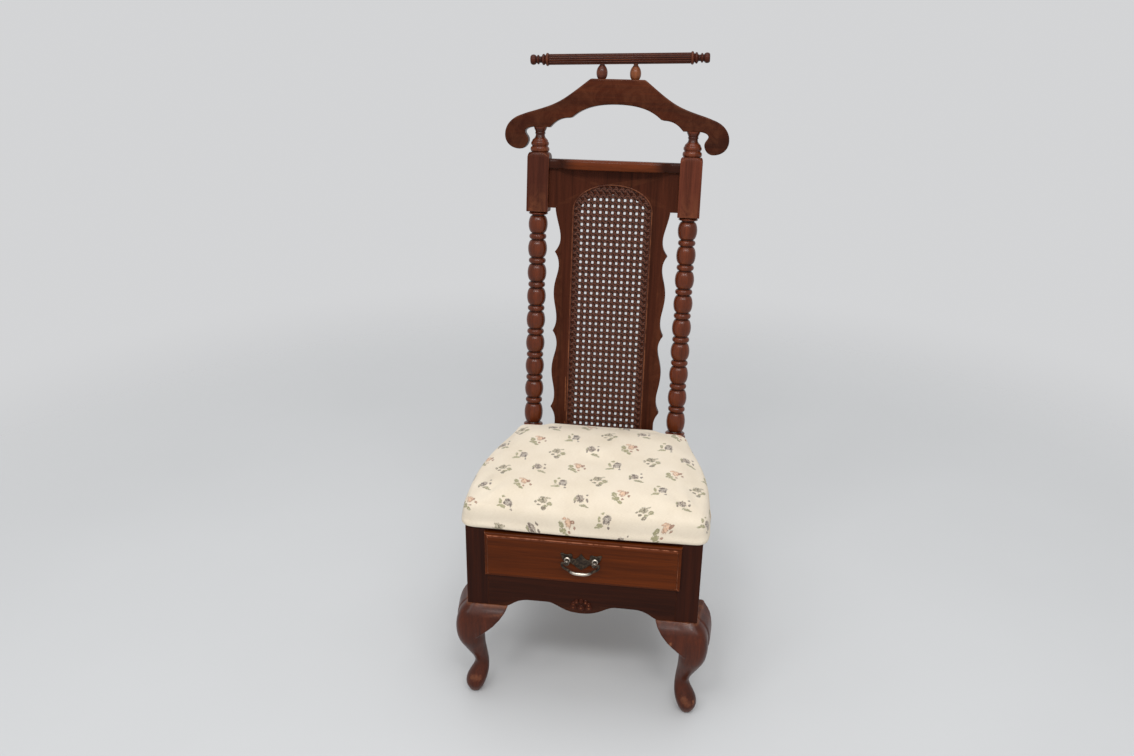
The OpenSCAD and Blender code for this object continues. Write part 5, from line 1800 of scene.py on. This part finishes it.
@dataclass
class Pull(Assembly):
    """The drawer's pull: a cut backplate and two posts, on the drawer."""

    half: float = 38.5
    z: float = 336.0
    plate_y: float = -14.4
    plate_t: float = 1.8
    gap: float = 51.0
    post_r: float = 5.0
    stand: float = 10.5
    screw_l: float = 31.8
    nut_at: float = 12.4
    body = "drawer"

    def outline(self) -> list[Point]:
        """Returns the right half of the backplate, from its top point to its foot."""
        w, z = self.half, self.z
        return ([(0.01, z + 15.5), (3, z + 11)]
                + chain((3, z + 11), ((6, z + 6.5), (9, z + 3.5), (13, z + 3), 12),
                        ((17, z + 3), (15, z + 9), (17, z + 12.5), 12),
                        ((20, z + 16), (24, z + 11), (28, z + 12), 12),
                        ((31, z + 13), (34, z + 14.5), (w - 1, z + 14.5), 10))
                + chain((w, z + 13), ((w - 2.5, z + 9), (w - 2, z + 4), (w - 5.5, z - 1), 12),
                        ((w - 8, z - 5), (w - 11, z - 7), (w - 14.5, z - 7), 12),
                        ((w - 20, z - 6), (14, z - 8), (11, z - 12), 12),
                        ((8, z - 16), (4, z - 16), (0.01, z - 20), 12)))

    def post(self) -> list[Point]:
        """Returns the profile of a post, from the end of its screw to its head."""
        r = self.post_r
        profile = [(2.0, -self.screw_l), (2.0, -0.4), (r + 1, 0.0), (r + 1, 0.5), (r + 0.6, 1.4),
                   (r - 0.6, 2.2), (3.4, 2.6), (2.8, 4.0)]
        low = math.asin(2.8 / r)
        turns = [low + (math.pi - low) * i / 20 for i in range(20)]
        return profile + [(r * math.sin(a), self.stand - r * math.cos(a)) for a in turns]

    def nut(self) -> Skin:
        """Returns the six-sided nut behind the drawer front, with its edges eased."""
        a = np.radians(np.arange(6) * 60)
        outer = np.stack([np.cos(a), np.sin(a), np.zeros(6)], 1)
        low = self.plate_y - self.nut_at - 3.0
        levels = [(3.6, 0.0), (4.0, 0.4), (4.0, 2.6), (3.6, 3.0)]
        return loft([outer * radius + [0, 0, low + z] for radius, z in levels])

    def build(self) -> None:
        """Makes the plate and its posts."""
        brass = AntiqueBrass("pull_brass").dress()
        plate = board("plate_piece", [both(self.outline())], (self.plate_y, self.plate_y + self.plate_t), 0.6,
                      self.datum.chair())
        self.add(plate, brass, "brass", "pull_plate")
        for side, sign in SIDES.items():
            place = (self.datum.chair() @ Matrix.Translation((sign * self.gap / 2, self.plate_y, self.z))
                     @ Matrix.Rotation(math.pi / 2, 4, "X"))
            node = f"pull_post_{side}"
            self.add(turned(f"post_{side}_turned", self.post(), place, 40), brass, "brass", node)
            self.add(to_object(f"nut_{side}", self.nut(), place, 20.0), brass, "brass", node)


@dataclass
class Bail(Assembly):
    """The hanging bail of the pull."""

    z: float = 336.0
    y: float = -24.9
    out: float = 33.8
    drop: float = 21.5
    radius: float = 2.5
    pin_r: float = 1.5
    gap: float = 51.0
    sides: int = 20
    body = "bail"

    def build(self) -> None:
        """Makes the bail as one tapering bent rod."""
        w, z, low = self.out, self.z, self.z - self.drop
        half = [(self.gap / 2 + 1.0, z), (w - 3.4, z)]
        half += chain((w - 2.2, z), ((w, z), (w, z - 1), (w, z - 3), 8),
                      ((w, z - 9), (w - 6, z - 11), (w - 12, z - 15), 16),
                      ((w - 18, low), (9, low), (0, low), 18))
        path = np.array(both(half))
        reach = np.abs(path[:, 0])
        thin = np.where((path[:, 1] > z - 0.6) & (reach < w - 2.4), self.pin_r, self.radius)
        fuller = 0.35 * np.cos(np.clip(reach / 18, 0, 1) * math.pi / 2)
        thick = thin + np.where(path[:, 1] < low + 3, fuller, 0)
        way = np.gradient(path, axis=0)
        way /= np.linalg.norm(way, axis=1)[:, None] + 1e-9
        a = np.linspace(0, 2 * math.pi, self.sides, endpoint=False)
        c, s = np.cos(a), np.sin(a)
        rings = [np.stack([p[0] + c * -d[1] * r, self.y + s * r, p[1] + c * d[0] * r], 1)
                 for p, d, r in zip(path, way, thick)]
        obj = to_object("bail_piece", loft(rings), self.datum.chair(), 50.0)
        keep_value(obj, "proud", np.repeat(np.where(path[:, 1] < low + 5, 1.0 - reach / 40, 0.1), self.sides))
        self.add(obj, AntiqueBrass("bail_brass").dress(), "brass", "pull_bail")


@dataclass
class Seat(Assembly):
    """The seat board and its padded, upholstered cushion."""

    side_h: float = 50.0
    lift: float = 9.0
    back: float = 338.0
    roll: float = 24.0
    voxel: float = 5.0
    tuck: float = 3.0
    cap: float = 5.0
    belly: float = 4.5
    pressure: float = 4.0
    bending: float = 4.0
    steps: int = 20
    bow: Point = (28.3, 20.8)
    bow_half: Point = (200.0, 160.0)
    bow_end: float = 225.0
    bow_front: float = -15.0

    def build(self) -> None:
        """Makes the seat."""
        plain = Unfinished("board_wood", Grain.ALONG_X, seed=6.0).dress()
        self.soften(["seat_board"], plain, "plain_wood", 1.0)
        cushion = self.padded_cover()
        self.add(cushion, Tapestry().dress(), "fabric", "seat_cushion")

    def padded_cover(self) -> bpy.types.Object:
        """Pads the cushion with a short cloth simulation and lays out its fabric."""
        obj = copied("seat_cushion", "cushion")
        weld(obj, 1e-6)
        remesh = obj.modifiers.new("even", "REMESH")
        remesh.mode, remesh.voxel_size = "VOXEL", self.voxel * MM
        evaluated(obj)
        self.widen(obj)
        self.ease(obj, 9)
        self.inflate(obj)
        subdivide = obj.modifiers.new("fine", "SUBSURF")
        subdivide.levels = subdivide.render_levels = 1
        evaluated(obj)
        self.lay_cloth(obj)
        return settled(obj, None)

    def widen(self, obj: bpy.types.Object) -> None:
        """Lets the padding swell sideways between the corners."""
        for v in obj.data.vertices:
            along = (v.co.y - self.datum.front) / MM / self.back
            over = (v.co.z - self.datum.seat) / MM
            share = math.sin(math.pi * min(max(along + 0.08, 0.0), 1.0)) * min(max(over / 20.0, 0.0), 1.0)
            v.co.x *= 1.0 + share * self.belly * MM / 0.24

    def ease(self, obj: bpy.types.Object, times: int) -> None:
        """Rounds the cushion's upper edges, and leaves its underside flat."""
        group = obj.vertex_groups.new(name="soft")
        for v in obj.data.vertices:
            over = (v.co.z - self.datum.seat) / MM
            group.add([v.index], float(np.clip((over - 8.0) / 14.0, 0.0, 1.0)), "REPLACE")
        smooth = obj.modifiers.new("ease", "SMOOTH")
        smooth.factor, smooth.iterations, smooth.vertex_group = 0.5, times, "soft"
        evaluated(obj)

    def inflate(self, obj: bpy.types.Object) -> None:
        """Pads the cover with a short cloth simulation, held where it is tacked down.

        Args:
            obj: The cushion's even mesh, which is changed.
        """
        mesh = obj.data
        count = len(mesh.vertices)
        start, normal = np.zeros(count * 3), np.zeros(count * 3)
        mesh.vertices.foreach_get("co", start)
        mesh.vertices.foreach_get("normal", normal)
        start, normal = start.reshape(-1, 3), normal.reshape(-1, 3)
        over = (start[:, 2] - self.datum.seat) / MM
        behind = (start[:, 1] - self.datum.front) / MM - self.back
        free = (np.clip((over - 5.0) / 10.0, 0, 1) * (normal[:, 2] > -0.25)
                * np.clip((-behind - 6.0) / 14.0, 0, 1))
        mesh.vertices.foreach_set("co", (start - normal * (free * self.tuck * MM)[:, None]).ravel())
        held = obj.vertex_groups.new(name="tacked")
        for index in np.flatnonzero(free < 0.5):
            held.add([int(index)], 1.0, "REPLACE")
        cloth = obj.modifiers.new("cover", "CLOTH")
        cloth.settings.use_pressure = True
        cloth.settings.bending_stiffness = self.bending
        cloth.settings.uniform_pressure_force = self.pressure
        cloth.settings.vertex_group_mass = "tacked"
        cloth.settings.effector_weights.gravity = 0.0
        cloth.collision_settings.use_collision = False
        cloth.point_cache.frame_start, cloth.point_cache.frame_end = 1, self.steps
        for step in range(1, self.steps + 1):
            bpy.context.scene.frame_set(step)
        evaluated(obj)
        bpy.context.scene.frame_set(1)
        end = np.zeros(count * 3)
        obj.data.vertices.foreach_get("co", end)
        move = (end.reshape(-1, 3) - start) * free[:, None]
        far = np.linalg.norm(move, axis=1)
        LOG.info("cushion: the cover moved %.1f mm at most", far.max() / MM)
        move *= np.minimum(1.0, self.cap * MM / np.maximum(far, 1e-9))[:, None]
        obj.data.vertices.foreach_set("co", (start + move).ravel())
        obj.data.update()
        self.ease(obj, 10)

    def lay_cloth(self, obj: bpy.types.Object) -> None:
        """Stores each point's place on the flat cloth, which wraps over the rolled edge."""
        co = np.array([v.co for v in obj.data.vertices]) / MM
        co[:, 1] -= self.datum.front / MM
        low = co[:, 2].min()
        top = self.datum.seat / MM + self.side_h + self.lift * np.maximum(co[:, 1], 0) / self.back
        rim = co[co[:, 2] > low]
        middle = np.array([0.0, self.datum.depth / MM * 0.46])
        ring = self.plan(rim, middle)
        out = co[:, :2] - middle
        angle = np.arctan2(out[:, 1], out[:, 0])
        reach = np.linalg.norm(out, axis=1)
        edge = np.interp(angle, ring[:, 0], ring[:, 1], period=2 * math.pi) - self.roll
        past = np.maximum(reach - edge, 0)
        fall = np.maximum(top + 2.0 - co[:, 2], 0) * (past > 0)
        flat = np.where(past > 0, edge + np.hypot(past, fall), reach)
        unit = out / np.maximum(reach, 1e-6)[:, None]
        cloth = middle + unit * flat[:, None]
        x = np.clip(cloth[:, 0], -self.bow_end, self.bow_end) / self.bow_half[0]
        y = (np.clip(cloth[:, 1], self.bow_front, self.back) - self.bow_half[1]) / self.bow_half[1]
        cloth[:, 1] -= self.bow[0] * x * x + self.bow[1] * y * y
        keep_value(obj, "cloth", np.concatenate([cloth, np.zeros((len(co), 1))], 1))

    @staticmethod
    def plan(points: np.ndarray, middle: np.ndarray) -> np.ndarray:
        """Returns the cushion's reach in each direction, as angle and distance."""
        out = points[:, :2] - middle
        angle = np.arctan2(out[:, 1], out[:, 0])
        reach = np.linalg.norm(out, axis=1)
        bins = np.linspace(-math.pi, math.pi, 181)
        index = np.digitize(angle, bins) - 1
        return np.array([((bins[i] + bins[i + 1]) / 2, reach[index == i].max())
                         for i in range(len(bins) - 1) if (index == i).any()])


# --------------------------------------------------------------------------- studio

@dataclass(frozen=True)
class Lamp:
    """A soft rectangular lamp that looks at a target."""

    name: str
    place: tuple[float, float, float]
    size: Point
    power: float
    target: tuple[float, float, float] = (0.0, 0.0, 0.6)
    shows: bool = True

    def hang(self) -> None:
        """Adds the lamp to the scene."""
        data = bpy.data.lights.new(self.name, "AREA")
        data.shape, (data.size, data.size_y), data.energy = "RECTANGLE", self.size, self.power
        obj = linked(self.name, data)
        obj.location = self.place
        obj.rotation_euler = (Vector(self.target) - Vector(self.place)).to_track_quat("-Z", "Y").to_euler()
        obj.visible_glossy = self.shows


@dataclass(frozen=True)
class Studio:
    """The floor, the light and the camera."""

    datum: Datum
    stand: tuple[float, float, float] = (0.16675, -1.508305, 1.334)
    pitch: float = 22.90
    yaw: float = 7.51
    roll: float = 0.736
    focal_pixels: float = 970.0
    frame_pixels: float = 1134.0
    sensor: float = 36.0
    floor_r: float = 3.2
    floor_z: float = -0.0005
    light: Colour = (0.97, 0.985, 1.0)
    backdrop: Colour = (0.655, 0.66, 0.67)
    ambient: float = 0.66
    lamps: tuple[Lamp, ...] = (
        Lamp("left_bank", (-1.8, -2.2, 3.7), (1.0, 2.2), 22.0),
        Lamp("right_bank", (1.5, -2.2, 3.7), (1.0, 2.2), 20.0),
        Lamp("left_pane", (-0.55, -2.4, 3.3), (0.7, 0.6), 23.0),
        Lamp("right_pane", (0.55, -2.4, 3.3), (0.7, 0.6), 22.0),
        Lamp("overhead", (0.0, 0.2, 3.9), (2.4, 2.0), 38.0),
        Lamp("front_fill", (0.4, -3.6, 1.4), (2.6, 2.0), 18.0, shows=False),
    )

    def camera(self) -> None:
        """Sets the camera at the photograph's viewing angle."""
        data = bpy.data.cameras.new("camera")
        data.sensor_width = self.sensor
        data.lens = self.sensor * self.focal_pixels / self.frame_pixels
        data.clip_start, data.clip_end = 0.05, 60.0
        obj = linked("camera", data)
        x, y, z = self.stand
        aim = (Matrix.Rotation(math.radians(self.yaw), 4, "Z")
               @ Matrix.Rotation(math.radians(90 - self.pitch), 4, "X")
               @ Matrix.Rotation(math.radians(self.roll), 4, "Z"))
        obj.matrix_world = Matrix.Translation((x, y + self.datum.front, z)) @ aim
        bpy.context.scene.camera = obj

    def floor(self) -> None:
        """Lays a round pale floor."""
        around = [math.radians(a) for a in range(0, 360, 5)]
        verts = [(self.floor_r * math.cos(a), self.floor_r * math.sin(a), self.floor_z) for a in around]
        mesh = bpy.data.meshes.new("floor")
        mesh.from_pydata(verts, [], [tuple(range(len(verts)))])
        obj = linked("floor", mesh)
        obj.data.materials.append(PaleGround().dress())

    def sky(self) -> None:
        """Fills the world with plain soft light, behind a pale backdrop."""
        world = bpy.data.worlds.new("studio")
        bpy.context.scene.world = world
        b = Bench(world)
        shown = b.node("LightPath", out="Is Camera Ray")
        for kind in ("Glossy", "Transmission"):
            shown = b.math("MAXIMUM", shown, b.node("LightPath", out=f"Is {kind} Ray"))
        hidden = (1.0 - shown) * self.ambient
        light = b.node("Background", values={"Color": self.light, "Strength": hidden})
        view = b.node("Background", values={"Color": self.backdrop, "Strength": shown})
        b.node_output(b.node("AddShader", values={0: light, 1: view}), "World")

    def build(self) -> None:
        """Sets up the whole studio."""
        self.camera()
        self.floor()
        self.sky()
        for lamp in self.lamps:
            lamp.hang()
        bpy.context.scene.view_settings.view_transform = "Standard"


def main() -> None:
    """Builds the studio and every sub-assembly, in order."""
    logging.basicConfig(level=logging.INFO, format="%(name)s: %(message)s")
    datum = Datum.read()
    Studio(datum).build()
    for assembly in (FrontLegs(datum), Case(datum), BackPosts(datum), CanedBack(datum), CapRail(datum),
                     Hanger(datum), TrouserBar(datum), Drawer(datum), Pull(datum), Bail(datum), Seat(datum)):
        assembly.build()
        LOG.info("%s: %d pieces", type(assembly).__name__, len(assembly.made))


if __name__ == "__main__":
    main()
